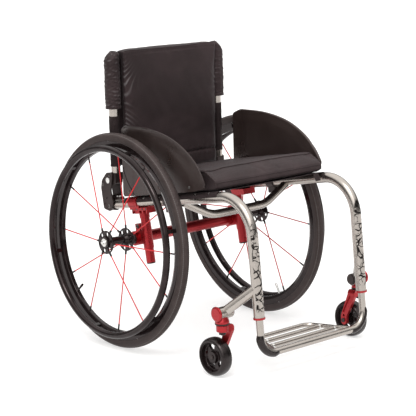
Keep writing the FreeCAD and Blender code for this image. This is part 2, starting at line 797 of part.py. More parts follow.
def caster_fork(sign):
    """Single-sided fork: a crown on the stem and one arm inboard of the wheel, rounded at the shoulder."""
    x = number(d.fork_arm_inner)
    low_x = x if sign > 0 else -x - number(d.fork_arm_thickness)
    stem_y = -number(d.caster_setback)
    half = d.fork_arm_half_width
    depth = 13
    top = 140.6
    knee = 64
    foot = d.caster_radius - 12.3
    rear = -d.caster_axle_setback
    outline = [(stem_y - depth, top, 6), (stem_y - depth, top - 17, 8), (rear - half - 2, knee, 14),
               (rear - half, foot, 9), (rear + half, foot, 9), (rear + half - 0.5, knee, 14),
               (stem_y + depth, top - 12, 12), (stem_y + depth, top, 6)]
    axle_hole = (d.caster_axle_radius + 0.05, rear, d.caster_radius)
    arm = plate(outline, low_x, d.fork_arm_thickness, holes=[axle_hole])
    recess = new_sketch(arm, "YZ_Plane", low_x if sign > 0 else low_x + number(d.fork_arm_thickness))
    recess_top, recess_foot, recess_depth = top - 16, 74.0, 3.5
    draw(recess, [(stem_y - 5, recess_top, 2), (rear - 4.5, recess_foot, 2), (rear + 4, recess_foot, 2),
                  (stem_y + 6, recess_top, 2)])
    hollow = arm.newObject("PartDesign::Pocket", "recess")
    hollow.Profile = recess
    hollow.Length = recess_depth
    hollow.Reversed = sign > 0
    crown_foot, crown_top = 122.4, 141.0
    crown = turned([(0, crown_foot), (d.crown_radius, crown_foot, 3), (d.crown_radius, crown_top - 2.5),
                    (d.crown_radius - 1.5, crown_top), (0, crown_top)], stem_place(sign))
    bridge_height = top - crown_foot - 0.6
    bridge_width, bridge_inset = 30.0, 13.0
    bridge = block(bridge_width, depth * 2, bridge_height, stem_place(sign, top - bridge_height / 2),
                   Vector(-sign * bridge_inset, 0, 0))
    bore = rod(d.stem_radius + 0.05, 40, stem_place(sign, 110))
    spare = rod(3.6, 30, across(sign, x - 10, rear - 1, 64.5))
    whole = fuse(arm, crown, bridge)
    shoulder = doc.addObject("Part::Common", "shoulder")
    shoulder.Base = whole
    shoulder.Tool = shoulder_stock(sign, top + 1)
    return cut(shoulder, bore, spare)


def shoulder_stock(sign, top):
    """What the fork is cut from, seen from the front: a slab whose upper inboard corner is rounded off."""
    inboard = sign * number(d.fork_arm_inner)
    outboard = sign * (number(d.caster_offset) + 30)
    front = -number(d.caster_setback) - 40
    depth = 110
    outline = [(inboard, 20), (outboard, 20), (outboard, top), (inboard, top, 11)]
    return plate(outline, -front - depth, depth, "XZ_Plane")


def caster_hardware(sign):
    """Stem bolt with its nut under the crown, and the axle bolt."""
    nut_foot, nut_top, nut_radius, stem_top = 115.0, 122.2, 9.2, 152.5
    bolt = turned([(0, nut_foot - 2), (4, nut_foot - 2), (4, nut_foot), (nut_radius, nut_foot, 1),
                   (nut_radius, nut_top), (d.stem_radius, nut_top), (d.stem_radius, stem_top), (0, stem_top)],
                  stem_place(sign))
    inner = d.fork_arm_inner - d.caster_offset
    arm_face = inner + d.fork_arm_thickness
    outer, head, head_depth, gap = 12.7, 6.0, 2.5, 0.1
    shaft = d.caster_axle_radius
    axle = turned([(0, inner - 3), (head, inner - 3), (head, inner - gap), (shaft, inner - gap),
                   (shaft, arm_face + gap), (head, arm_face + gap), (head, gap - outer), (shaft, gap - outer),
                   (shaft, outer), (head, outer), (head, outer + head_depth, 1), (0, outer + head_depth)],
                  caster_place(sign))
    return group(bolt, axle)


def caster_wheel(sign):
    """Caster wheel core: a deep dish each side of a slotted web, round a hub with two bearing pockets."""
    edge = d.caster_core_radius
    bore, pocket, boss = 9.0, 11.0, 14.5
    step, boss_end, web, web_edge, flange = 3.5, 12.5, 4.0, 35.0, 15.5
    half_outline = [(bore, step), (pocket, step), (pocket, boss_end), (boss, boss_end), (boss + 1.5, web, 2),
                    (web_edge, web, 3), (edge - 3, flange), (edge, flange)]
    mirrored = [(corner[0], -corner[1], *corner[2:]) for corner in reversed(half_outline)]
    body = turned(half_outline + mirrored)
    slot = new_sketch(body, "XY_Plane", 20)
    near, far, near_half, far_half = 18.5, 33.5, 5.5, 14.5
    draw(slot, [(near, -near_half, 3), (far, -far_half, 4), (far, far_half, 4), (near, near_half, 3)])
    window = body.newObject("PartDesign::Pocket", "window")
    window.Profile = slot
    window.Length = 40
    pattern(body, window, d.caster_slots)
    body.Placement = caster_place(sign)
    return body


def caster_bearings(sign):
    rings = []
    bore = d.caster_axle_radius + d.running_gap
    radius, width, inset = 10.95, 8.9, 3.6
    for start in (-inset - width, inset):
        outline = [(bore, start), (radius, start), (radius, start + width), (bore, start + width)]
        rings.append(turned(outline, caster_place(sign)))
    return group(*rings)


def caster_tyre(sign):
    """Round-shouldered solid tyre on the caster's core."""
    inner = d.caster_core_radius + 0.05
    outer, half, shoulder = d.caster_radius, d.caster_half_width, d.caster_shoulder
    outline = [(inner, -half + 0.6), (outer, -half, shoulder), (outer, half, shoulder), (inner, half - 0.6)]
    return turned(outline, caster_place(sign))


# ---------------------------------------------------------------- footrest

def footrest_corners():
    half = number(d.rail_offset)
    low = number(d.footrest_drop)
    top = 235
    return [leg.multVec(Vector(x, 0, z)) for x, z in ((-half, top), (-half, low), (half, low), (half, top))]


def footrest_tube():
    return pipe(footrest_corners(), d.footrest_bend_radius, d.footrest_tube_radius, d.tube_wall)


def footrest_grid():
    """Thin rear loop welded to the front tube, and two bars across it."""
    height = number(d.footrest_grid_height)
    depth = number(d.grid_depth)
    front = leg.multVec(Vector(0, 0, number(d.footrest_drop))).y
    front_half, rear_half, corner_bend, loop_wall = 142.0, 92.0, 34.0, 1.2
    corners = [(-front_half, 0), (-rear_half, depth), (rear_half, depth), (front_half, 0)]
    route = [Vector(x, front + back, height) for x, back in corners]
    loop = pipe(route, corner_bend, d.grid_loop_radius, loop_wall)
    bars = []
    for back in (40.0, 81.0):
        half = front_half + (rear_half - front_half) * back / depth
        bars.append(rod(d.grid_bar_radius, half * 2, facing(Vector(-half, front + back, height), X_AXIS)))
    front_tube = pipe(footrest_corners(), d.footrest_bend_radius, d.footrest_tube_radius + 0.02, 0)
    return cut(fuse(loop, *bars), front_tube)


def footrest_bumpers():
    """Rubber half sleeves round the outside of the footrest tube's two lower corners."""
    corners = footrest_corners()
    bend = number(d.footrest_bend_radius)
    rise, run, margin, end_trim = bend + 1.2, bend + 2.0, 20.0, 8.0
    wall = d.bumper_radius - d.footrest_tube_radius - 0.05
    halves = []
    for sign, end, corner, other in ((-1, *corners[:3]), (1, *corners[:0:-1])):
        up = (end - corner).normalize() * rise
        side = (other - corner).normalize() * run
        sleeve = pipe([corner + up, corner, corner + side], bend, d.bumper_radius, wall)
        x = sign * number(d.rail_offset)
        low = number(d.footrest_drop)
        inside = plate([(x, low + rise + margin), (x, low, bend), (x - sign * (run + margin), low),
                        (x - sign * (run + margin), low + rise + margin)], -margin, margin * 2, "XZ_Plane")
        inside.Placement = leg
        end_x = x - sign * (bend - end_trim + margin)
        end_stock = block(margin * 2, margin * 2, margin * 2, leg, Vector(end_x, 0, low))
        halves.append(cut(sleeve, inside, end_stock))
    return group(*halves)


# ---------------------------------------------------------------- seat and guards

def on_seat(outline, start, thickness):
    """A plate drawn in the seat frame: corners are (rearward, up), start is its lower x."""
    body = plate(outline, start, thickness)
    body.Placement = seat
    return body


def seat_sling():
    under = d.frame_tube_radius + 0.3
    top = under + d.sling_thickness
    front, rear = -346.0, 45.0
    outline = [(rear, under), (rear, top), (front, top), (front, under)]
    sheet_body = on_seat(outline, -d.sling_half_width, d.sling_half_width * 2)
    notches = []
    for _, sign in SIDES:
        place = along_rail(sign * number(d.rail_offset), 27)
        notches.append(rod(d.frame_tube_radius + d.saddle_wall + 0.3, 38, place))
    return cut(sheet_body, *notches)


def seat_cushion():
    """Wedge-fronted cushion: flat underside on the sling, bevelled front face."""
    under = d.frame_tube_radius + d.saddle_wall + 0.4
    outline = [(46, under, 5), (39, 73, 12), (-306, 71, 12), (-348, 38, 9), (-344, under, 6)]
    return on_seat(outline, -d.cushion_half_width, d.cushion_half_width * 2)


GUARD_OUTLINE = [(130, 598, 12), (104, 611, 30), (-5, 613, 170), (-110, 594, 160), (-196, 540, 60),
                 (-226, 477, 14), (-164, 458, 40), (131, 410, 8)]


def guard(sign):
    """Side guard: a thin plate with a narrow lip turned outwards along its upper edge."""
    thickness = d.guard_thickness
    start = d.guard_offset if sign > 0 else -d.guard_offset - thickness
    panel = plate(GUARD_OUTLINE, start, thickness)
    lip_start = d.guard_offset if sign > 0 else -d.guard_offset - d.guard_lip_width
    lip = plate(GUARD_OUTLINE, lip_start, d.guard_lip_width)
    inset = new_sketch(lip, "YZ_Plane", lip_start - 1)
    edge = 3
    draw(inset, [(150, 400), (150, 590), (104, 611 - edge, 27), (-5, 613 - edge, 170),
                 (-110 + 1, 594 - edge, 157), (-196 + 3, 540 - 1, 57), (-226 + 4, 478, 12), (-236, 440),
                 (-200, 400)])
    hollow = lip.newObject("PartDesign::Pocket", "hollow")
    hollow.Profile = inset
    hollow.Length = 40
    hollow.Reversed = True
    return fuse(panel, lip)


def guard_clamp(sign):
    """Clamp on the rail that takes the guard's fixing."""
    x = sign * number(d.rail_offset)
    length, middle = 26.0, -141.0
    ring = rod(d.frame_tube_radius + 3.5, length, along_rail(x, middle + length / 2))
    foot = block(18, length, 18, seat, Vector(x, middle, -22))
    top = block(34, length, 30, seat, Vector(x, middle, 15))
    bore = rail_bar(sign, 0.05)
    return cut(fuse(ring, foot), bore, top)


# ---------------------------------------------------------------- backrest

def back_bracket(sign):
    """Cast bracket on the rail's end: two cheeks round the hinge foot, joined by a collar."""
    outer = [(179.5, 472, 5), (204, 469, 10), (226, 446, 14), (231, 424, 14), (221.5, 365, 8), (192, 361, 8),
             (178.5, 387, 10), (188, 420, 20), (179, 458, 8)]
    inner = [(178, 470, 5), (204, 466, 10), (226, 446, 14), (228, 424, 14), (218, 366, 8), (192, 362, 8),
             (182, 387, 10), (188, 420, 20), (178, 456, 8)]
    pin = (d.pivot_radius + 0.05, d.pivot_setback, d.pivot_height)
    small = [(3, 197, 375), (2.5, 216, 380), (2.5, 206, 397), (3, 222, 434), (2.2, 190, 460)]
    outer_start = 203.0 if sign > 0 else -207.0
    inner_start = 168.6 if sign > 0 else -172.6
    cheeks = [plate(outer, outer_start, 4, holes=[pin] + small), plate(inner, inner_start, 4, holes=[pin])]
    x = sign * number(d.rail_offset)
    collar = rod(d.frame_tube_radius + 3.4, 34, along_rail(x, 134))
    bridge = block(31, 22, 26, seat, Vector(sign * 187.8, 118, 12))
    tongue = block(14, 44, 8, seat, Vector(x, 90, 15))
    return cut(fuse(*cheeks, collar, bridge, tongue), rail_bar(sign, 0.05))


def pivot_pin(sign):
    start, flange, under_head, head, head_radius = 166.5, 168.5, 207.1, 209.0, 8.0
    outline = [(0, start), (head_radius, start), (head_radius, flange), (d.pivot_radius, flange),
               (d.pivot_radius, under_head), (head_radius, under_head), (head_radius, head), (0, head)]
    place = across(sign, 0, d.pivot_setback, d.pivot_height)
    return turned(outline, place)


def stop_pin(sign):
    """Bolt across the bracket behind the post, which stops it upright."""
    return turned([(0, 172.9), (4, 172.9), (4, 202.8), (0, 202.8)], across(sign, 0, 226, 434))


def clamp_screws(sign):
    """Screw heads on the bracket's tongue and along the sling's edge on the rail."""
    x = sign * number(d.rail_offset)
    heads = []
    for along in (76, 90):
        heads.append(rod(3.4, 3.2, seat.multiply(Placement(Vector(x, along, 19.1), Rotation()))))
    lean = Rotation(Y_AXIS, sign * 40)
    for along in (-40, -110, -180, -260, -314):
        seat_point = Vector(x, along, 0) + lean.multVec(Z_AXIS) * (number(d.frame_tube_radius) + 0.3)
        heads.append(rod(3.2, 2, seat.multiply(Placement(seat_point, lean))))
    return heads


def hinge_foot(sign):
    """Block under the post that turns on the pivot pin, with a spigot up inside the post."""
    x = sign * number(d.post_offset)
    low_x = x - 12.5
    setback = number(d.post_setback)
    top = d.post_bottom
    outline = [(setback - 12, top, 2), (setback - 12, 440, 8), (setback + 4, 435.5, 6), (209, 436, 10),
               (209, 459, 12), (setback + 14, top, 4)]
    pin_hole = (d.pivot_radius + d.running_gap, d.pivot_setback, d.pivot_height)
    cheek = plate(outline, low_x, 25, holes=[pin_hole])
    spigot = rod(d.post_radius - 2.05, 24, facing(Vector(x, setback, number(d.post_bottom) - 2), Z_AXIS))
    return fuse(cheek, spigot)


def back_post(sign):
    foot = Vector(sign * number(d.post_offset), number(d.post_setback), number(d.post_bottom) + 0.1)
    return tube(d.post_radius, 2, d.post_top - d.post_bottom, facing(foot, Z_AXIS))


def back_sleeve(sign):
    """Padded sleeve round the upper part of a post, closed and rounded on top."""
    inner = d.post_radius + 0.2
    hem, waist, top = 648.0, 720.0, 803.0
    outline = [(inner, hem), (d.sleeve_radius - 1, hem, 4), (d.sleeve_radius + 0.8, waist, 200),
               (d.sleeve_radius, top, 12), (0, top), (0, d.post_top + 1), (inner, d.post_top + 1)]
    return turned(outline, facing(Vector(sign * number(d.post_offset), number(d.post_setback), 0), Z_AXIS))


def back_sling():
    """Upholstery between the posts, with thin sleeves on them."""
    bottom, sleeve_top, top = 488.0, 626.0, 788.0
    thickness = 3.0
    half = d.post_offset - d.post_radius - 0.6
    middle = Vector(0, number(d.post_setback) - thickness / 2, 0)
    lower_height = 158
    lower_middle = middle + Z_AXIS * (bottom + lower_height / 2)
    lower = block(half * 2, thickness, lower_height, Placement(), lower_middle)
    upper_height = 142
    upper = block(d.back_pad_half_width * 2, thickness, upper_height, Placement(),
                  middle + Z_AXIS * (top - upper_height / 2))
    sleeves, bars = [], []
    for _, sign in SIDES:
        place = facing(Vector(sign * number(d.post_offset), number(d.post_setback), bottom), Z_AXIS)
        wall = d.thin_sleeve_radius - d.post_radius - 0.1
        sleeves.append(tube(d.thin_sleeve_radius, wall, sleeve_top - bottom, place))
        bars.append(rod(d.post_radius + 0.1, top - bottom, place))
    return cut(fuse(lower, upper, *sleeves), *bars)


def back_pad():
    """Thin back cushion that laps over the top of the sling."""
    front, bottom, top, lap, lap_bottom = 155.8, 452.0, 815.0, 14.0, 790.5
    rear = number(d.post_setback) - 3.4
    outline = [(front, bottom, 6), (front, top, 14), (rear + lap, top, 14), (rear + lap, lap_bottom, 4),
               (rear, lap_bottom), (rear, bottom, 6)]
    return plate(outline, -d.back_pad_half_width, d.back_pad_half_width * 2)


# ---------------------------------------------------------------- the chair

def both(maker):
    return group(*[maker(sign) for _, sign in SIDES])


for name, sign in SIDES:
    keep(side_frame(sign), f"side_frame_{name}")
    keep(caster_arm(sign), f"caster_arm_{name}")
    keep(guard(sign), f"guard_{name}")
    keep(back_bracket(sign), f"back_bracket_{name}")
    keep(back_sleeve(sign), f"back_sleeve_{name}")
    keep(tyre(sign), f"tyre_{name}")
    keep(rim(sign), f"rim_{name}")
    keep(handrim(sign), f"handrim_{name}")
    keep(spokes(sign), f"spokes_{name}")
    keep(nipples(sign), f"spoke_nipples_{name}")
    keep(hub(sign), f"hub_{name}")
    keep(hub_bearings(sign), f"hub_bearings_{name}")
    keep(release_button(sign), f"release_button_{name}")
    keep(caster_fork(sign), f"caster_fork_{name}")
    keep(caster_hardware(sign), f"caster_hardware_{name}")
    keep(caster_wheel(sign), f"caster_wheel_{name}")
    keep(caster_bearings(sign), f"caster_bearings_{name}")
    keep(caster_tyre(sign), f"caster_tyre_{name}")

keep(front_cross_tube(), "front_cross_tube")
keep(both(caster_head), "caster_heads")
keep(both(barrel_cap), "caster_barrel_caps")
keep(group(both(barrel_plug), both(height_tube_cap)), "frame_end_plugs")
keep(both(stem_bearing), "stem_bearings")
keep(both(leg_collar), "leg_collars")
keep(both(rail_saddle), "rail_saddles")
keep(both(height_tube), "height_tubes")
keep(both(camber_clamp), "camber_clamps")
keep(camber_tube(), "camber_tube")
keep(both(axle_receiver), "axle_receivers")
keep(both(release_axle), "quick_release_axles")
keep(seat_sling(), "seat_sling")
keep(seat_cushion(), "seat_cushion")
keep(both(guard_clamp), "guard_clamps")
keep(group(both(pivot_pin), both(stop_pin)), "back_hinge_pins")
keep(group(*clamp_screws(1), *clamp_screws(-1)), "frame_screws")
keep(both(hinge_foot), "back_hinge_feet")
keep(both(back_post), "back_posts")
keep(back_sling(), "back_sling")
keep(back_pad(), "back_pad")
keep(footrest_tube(), "footrest_tube")
keep(footrest_grid(), "footrest_grid")
keep(footrest_bumpers(), "footrest_bumpers")

doc.recompute()
problems = []
for item in doc.Objects:
    if "Invalid" in item.State or "Error" in item.State:
        problems.append(f"{item.Label}: {item.State}")
for item in sub_parts:
    if item.Shape.isNull() or not item.Shape.isValid():
        problems.append(f"{item.Label}: bad shape")
    elif not item.Shape.Solids:
        problems.append(f"{item.Label}: no solid")
if problems:
    raise RuntimeError("\n".join(problems))

os.makedirs("parts", exist_ok=True)
for item in sub_parts:
    item.Shape.exportStep(f"parts/{item.Label}.step")
print(f"{len(sub_parts)} sub-parts written")
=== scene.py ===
import json
import random
from math import atan2, copysign, cos, degrees, exp, pi, radians, sin, sqrt, tan, tanh

import bmesh
import bpy
from mathutils import Matrix, Vector
from mathutils.bvhtree import BVHTree
from mathutils.geometry import delaunay_2d_cdt


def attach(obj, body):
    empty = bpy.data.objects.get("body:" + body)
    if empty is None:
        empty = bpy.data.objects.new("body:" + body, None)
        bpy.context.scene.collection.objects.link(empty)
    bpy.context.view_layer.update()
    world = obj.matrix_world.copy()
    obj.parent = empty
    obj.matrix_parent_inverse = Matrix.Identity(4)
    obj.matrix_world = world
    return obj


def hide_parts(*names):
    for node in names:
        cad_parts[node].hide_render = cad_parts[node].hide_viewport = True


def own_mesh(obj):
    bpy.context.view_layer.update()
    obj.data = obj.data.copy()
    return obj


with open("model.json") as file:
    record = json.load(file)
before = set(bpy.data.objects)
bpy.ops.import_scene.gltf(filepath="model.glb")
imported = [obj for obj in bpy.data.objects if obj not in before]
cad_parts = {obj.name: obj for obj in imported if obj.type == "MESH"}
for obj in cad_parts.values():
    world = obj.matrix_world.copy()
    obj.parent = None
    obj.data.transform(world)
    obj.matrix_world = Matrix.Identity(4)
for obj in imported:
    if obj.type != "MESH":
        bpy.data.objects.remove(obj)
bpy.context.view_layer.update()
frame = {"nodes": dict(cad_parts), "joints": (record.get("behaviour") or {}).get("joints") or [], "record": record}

SCENE = bpy.context.scene
MM = 0.001
X_AXIS, Y_AXIS, Z_AXIS = Vector((1, 0, 0)), Vector((0, 1, 0)), Vector((0, 0, 1))
SIDES = (("left", 1), ("right", -1))
JOINTS = {joint["name"]: joint for joint in frame["joints"]}


def mm(x, y, z):
    """A point or an offset given in millimetres."""
    return Vector((x, y, z)) * MM


def add_object(name, data):
    added = bpy.data.objects.new(name, data)
    SCENE.collection.objects.link(added)
    return added


# ---- camera, light and floor

CAMERA_TARGET = Vector((-0.13249, -0.1375, 0.40144))
CAMERA_DISTANCE = 3.86006
CAMERA_AZIMUTH = radians(-40.8)
CAMERA_ELEVATION = radians(11.03)
CAMERA_ROLL = radians(-1.72)
CAMERA_LENS = 126.28


def make_camera():
    ca, sa = cos(CAMERA_AZIMUTH), sin(CAMERA_AZIMUTH)
    ce, se = cos(CAMERA_ELEVATION), sin(CAMERA_ELEVATION)
    back = Vector((sa * ce, -ca * ce, se))
    right = (-back).cross(Z_AXIS).normalized()
    up = right.cross(-back)
    cr, sr = cos(CAMERA_ROLL), sin(CAMERA_ROLL)
    side = right * cr + up * sr
    top = up * cr - right * sr
    place = Matrix((side, top, back)).transposed().to_4x4()
    place.translation = CAMERA_TARGET + back * CAMERA_DISTANCE
    data = bpy.data.cameras.new("camera")
    data.sensor_width = 36
    data.lens = CAMERA_LENS
    camera = add_object("camera", data)
    camera.matrix_world = place
    SCENE.camera = camera


class Nodes:
    """Builds a node tree in few words."""

    def __init__(self, tree):
        self.tree = tree

    def feed(self, node, inputs):
        """Links each named socket to an output, or sets it to a constant."""
        for socket, value in inputs.items():
            if isinstance(value, bpy.types.NodeSocket):
                self.tree.links.new(value, node.inputs[socket])
            else:
                node.inputs[socket].default_value = value

    def add(self, kind, inputs=None, **settings):
        node = self.tree.nodes.new(kind)
        for name, value in settings.items():
            setattr(node, name, value)
        self.feed(node, inputs or {})
        return node

    def math(self, operation, *values):
        return self.add("ShaderNodeMath", dict(enumerate(values)), operation=operation).outputs[0]

    def plus(self, first, second):
        return self.math("ADD", first, second)

    def times(self, first, second):
        return self.math("MULTIPLY", first, second)

    def vector(self, operation, *values):
        return self.add("ShaderNodeVectorMath", dict(enumerate(values)), operation=operation).outputs[0]

    def split(self, vector):
        return self.add("ShaderNodeSeparateXYZ", {0: vector}).outputs

    def place(self):
        return self.add("ShaderNodeTexCoord").outputs["Object"]

    def painted_highlight(self):
        """The painted highlight shares left by store_painted_highlights; zero on a piece that has none."""
        return self.add("ShaderNodeAttribute", attribute_name="painted_highlight").outputs["Fac"]

    def noise(self, vector, scale, detail=2.0, roughness=0.5):
        inputs = {"Vector": vector, "Scale": scale, "Detail": detail, "Roughness": roughness}
        return self.add("ShaderNodeTexNoise", inputs).outputs["Fac"]

    def ramp(self, value, low, high, to_low=0.0, to_high=1.0):
        inputs = {"Value": value, "From Min": low, "From Max": high, "To Min": to_low, "To Max": to_high}
        return self.add("ShaderNodeMapRange", inputs, interpolation_type="SMOOTHSTEP").outputs[0]

    def mix(self, factor, first, second):
        inputs = {0: factor, 6: first, 7: second}
        return self.add("ShaderNodeMix", inputs, data_type="RGBA").outputs[2]


def make_world():
    """Studio surround: bright above, darker round the horizon, plain and pale to the camera."""
    world = bpy.data.worlds.new("studio")
    world.use_nodes = True
    world.node_tree.nodes.clear()
    n = Nodes(world.node_tree)
    direction = n.add("ShaderNodeTexCoord").outputs["Generated"]
    overhead = n.ramp(n.split(direction)[2], 0.28, 0.78, 0.24, 1.55)
    toward_key = {0: direction, 1: (-0.62, -0.50, 0.60)}
    key_side = n.add("ShaderNodeVectorMath", toward_key, operation="DOT_PRODUCT").outputs["Value"]
    softbox = n.ramp(key_side, 0.80, 0.93, 0.0, 1.5)
    seen = n.add("ShaderNodeLightPath").outputs["Is Camera Ray"]
    lit = n.times(n.plus(overhead, softbox), n.math("SUBTRACT", 1.0, seen))
    strength = n.plus(lit, n.times(seen, 0.95))
    back = n.add("ShaderNodeBackground", {"Color": (1.0, 0.995, 0.985, 1), "Strength": strength})
    n.add("ShaderNodeOutputWorld", {"Surface": back.outputs[0]})
    SCENE.world = world
    SCENE.view_settings.view_transform = "Standard"


def make_sun():
    data = bpy.data.lights.new("key", "SUN")
    data.energy = 1.15
    data.angle = radians(20)
    sun = add_object("key", data)
    sun.rotation_euler = Vector((-0.45, -0.40, 1.0)).to_track_quat("Z", "Y").to_euler()


def make_floor():
    size, height = 60, -0.0004
    mesh = bpy.data.meshes.new("floor")
    corners = [(-size, -size, height), (size, -size, height), (size, size, height), (-size, size, height)]
    mesh.from_pydata(corners, [], [(0, 1, 2, 3)])
    floor = add_object("floor", mesh)
    material, n, shader = new_material("studio_floor", (0.46, 0.457, 0.455), 0.8)
    n.feed(shader, {"Specular IOR Level": 0.1, "Emission Color": (1.0, 0.995, 0.99, 1),
                    "Emission Strength": 0.6})
    floor.data.materials.append(material)


# ---- materials

WARM = (1.0, 0.86, 0.85, 1)


def new_material(name, color, roughness, metallic=0.0):
    material = bpy.data.materials.new(name)
    material.use_nodes = True
    n = Nodes(material.node_tree)
    shader = material.node_tree.nodes["Principled BSDF"]
    n.feed(shader, {"Base Color": (*color, 1), "Roughness": roughness, "Metallic": metallic})
    return material, n, shader


def tone(color, gain=1.0, lift=0.0):
    """A colour made lighter or darker, with its alpha."""
    return (*(channel * gain + lift for channel in color), 1)


def bump(n, height, distance):
    """A normal for a height in units of distance metres."""
    node = n.add("ShaderNodeBump", {"Height": height, "Distance": distance, "Strength": 1.0})
    return node.outputs["Normal"]


def titanium(engraved=False):
    """Brushed bare metal with a warm cast, and on the legs a dark etched tracery."""
    name = "titanium_engraved" if engraved else "titanium"
    material, n, shader = new_material(name, (0.56, 0.52, 0.475), 0.3, 1.0)
    place = n.place()
    cloud = n.noise(place, 14, 3)
    brushed = n.noise(n.vector("MULTIPLY", place, (900, 900, 60)), 1.0, 2)
    color = n.mix(cloud, (0.37, 0.335, 0.305, 1), (0.46, 0.422, 0.388, 1))
    rough = n.plus(n.ramp(cloud, 0.3, 0.7, 0.15, 0.24), n.times(brushed, 0.07))
    if engraved:
        ink = tracery(n, place)
        color = n.mix(ink, color, (0.018, 0.016, 0.015, 1))
        rough = n.plus(rough, n.times(ink, 0.25))
    n.feed(shader, {"Base Color": color, "Roughness": rough, "Normal": bump(n, brushed, 0.00004)})
    return material


def tracery(n, place):
    """Generic branching dark lines on the forward face of the legs."""
    _, y, z = n.split(place)
    wander = n.add("ShaderNodeTexNoise", {"Vector": place, "Scale": 42.0, "Detail": 1.5}).outputs["Color"]
    drift = n.vector("MULTIPLY", n.vector("SUBTRACT", wander, (0.5, 0.5, 0.5)), (0.026, 0.026, 0.026))
    bent = n.vector("ADD", place, drift)
    lines = []
    for scale, width in ((44.0, 0.085), (92.0, 0.075)):
        inputs = {"Vector": bent, "Scale": scale}
        cells = n.add("ShaderNodeTexVoronoi", inputs, feature="DISTANCE_TO_EDGE")
        lines.append(n.ramp(cells.outputs["Distance"], width * 0.45, width, 1.0, 0.0))
    gaps = n.ramp(n.noise(place, 55, 1), 0.48, 0.56)
    ink = n.math("MAXIMUM", lines[0], n.times(lines[1], gaps))
    front = n.math("SUBTRACT", n.times(z, 0.0825), n.plus(y, 0.400))
    above, below = n.ramp(z, 0.172, 0.182), n.ramp(z, 0.440, 0.462, 1.0, 0.0)
    leg_zone = n.times(n.times(n.ramp(front, 0.0045, 0.0080), above), below)
    return n.times(ink, leg_zone)


def anodised(name, color, roughness=0.3):
    material, n, shader = new_material(name, color, roughness, 0.72)
    place = n.place()
    cloud = n.noise(place, 22, 3)
    n.feed(shader, {"Base Color": n.mix(cloud, tone(color, 0.82), tone(color, 1.12)),
                    "Roughness": n.ramp(cloud, 0.3, 0.7, roughness - 0.05, roughness + 0.07),
                    "Coat Weight": 0.25, "Coat Roughness": 0.2,
                    "Normal": bump(n, n.noise(place, 1600, 2), 0.00003)})
    return material


def plastic(name, color, roughness=0.42, grain_size=900, grain_depth=0.00006, specular=0.5):
    """Moulded plastic or powder coat: a fine grain and slightly uneven gloss."""
    material, n, shader = new_material(name, color, roughness)
    place = n.place()
    cloud = n.noise(place, 18, 3)
    n.feed(shader, {"Base Color": n.mix(cloud, tone(color), tone(color, 1.5, 0.004)),
                    "Roughness": n.ramp(cloud, 0.3, 0.7, roughness - 0.06, roughness + 0.06),
                    "Specular IOR Level": specular, "Specular Tint": WARM,
                    "Normal": bump(n, n.noise(place, grain_size, 3), grain_depth)})
    return material


def rubber(name, color, roughness, specular):
    """Dusty rubber, with a pale painted highlight where highlight shares are stored."""
    material, n, shader = new_material(name, color, roughness)
    place = n.place()
    dust = n.noise(place, 30, 5, 0.65)
    shade = n.mix(n.ramp(dust, 0.4, 0.75), tone(color), tone(color, 1.5, 0.002))
    # Painted highlight: the stored shares mix in a pale colour.
    n.feed(shader, {"Base Color": n.mix(n.painted_highlight(), shade, (0.16, 0.15, 0.145, 1)),
                    "Roughness": n.ramp(dust, 0.3, 0.7, roughness - 0.06, roughness + 0.08),
                    "Specular IOR Level": specular, "Specular Tint": WARM,
                    "Normal": bump(n, n.noise(place, 1400, 2), 0.00008)})
    return material


def polished(name, color, roughness):
    material, n, shader = new_material(name, color, roughness, 1.0)
    scuff = n.noise(n.place(), 160, 4, 0.6)
    n.feed(shader, {"Base Color": n.mix(scuff, tone(color, 0.86), tone(color)),
                    "Roughness": n.ramp(scuff, 0.3, 0.75, roughness, roughness + 0.16)})
    return material


def gloss(name, color):
    """Deep black lacquer over metal."""
    material, n, shader = new_material(name, color, 0.16)
    place = n.place()
    dust = n.noise(place, 26, 4, 0.6)
    n.feed(shader, {"Base Color": n.mix(n.ramp(dust, 0.45, 0.8), tone(color), tone(color, 2.2, 0.003)),
                    "Roughness": n.ramp(dust, 0.3, 0.75, 0.07, 0.18),
                    "Specular IOR Level": 0.24, "Specular Tint": (1.0, 0.80, 0.80, 1),
                    "Coat Weight": 0.10, "Coat Roughness": 0.05,
                    "Normal": bump(n, n.noise(place, 380, 2), 0.00002)})
    return material


def woven(name, color, thread=0.0007, sheen=0.06, roughness=0.58, relief=0.22, creased=False):
    """Coated nylon: a fine plain weave that follows whichever way the surface faces."""
    material, n, shader = new_material(name, color, roughness)
    coords = n.add("ShaderNodeTexCoord")
    place = coords.outputs["Object"]
    turns = n.add("ShaderNodeVectorMath", {0: place, "Scale": pi / thread}, operation="SCALE").outputs[0]
    sx, sy, sz = n.split(n.vector("SINE", turns))
    nx, ny, nz = n.split(n.vector("ABSOLUTE", coords.outputs["Normal"]))
    top = n.times(nz, n.times(sx, sy))
    front = n.times(ny, n.times(sx, sz))
    side = n.times(nx, n.times(sy, sz))
    weave = n.plus(top, n.plus(front, side))
    crumple = n.noise(place, 55, 4, 0.55)
    height = n.plus(n.times(weave, relief), n.times(crumple, 1.3))
    fade = n.noise(place, 9, 4, 0.6)
    shade = n.mix(n.ramp(fade, 0.35, 0.75), tone(color), tone(color, 1.75, 0.004))
    rough = n.ramp(fade, 0.3, 0.7, roughness - 0.05, roughness + 0.08)
    # With creased set, the stored shares paint a highlight: a lighter colour and lower roughness along pucker and
    # crease ridges.
    if creased:
        painted_highlight = n.painted_highlight()
        shade = n.mix(painted_highlight, shade, (0.105, 0.094, 0.096, 1))
        rough = n.math("SUBTRACT", rough, n.times(painted_highlight, 0.2))
    n.feed(shader, {"Base Color": shade, "Roughness": rough, "Specular IOR Level": 0.27,
                    "Specular Tint": WARM, "Sheen Weight": sheen, "Sheen Roughness": 0.45,
                    "Normal": bump(n, height, 0.00035)})
    return material


# ---- mesh tools

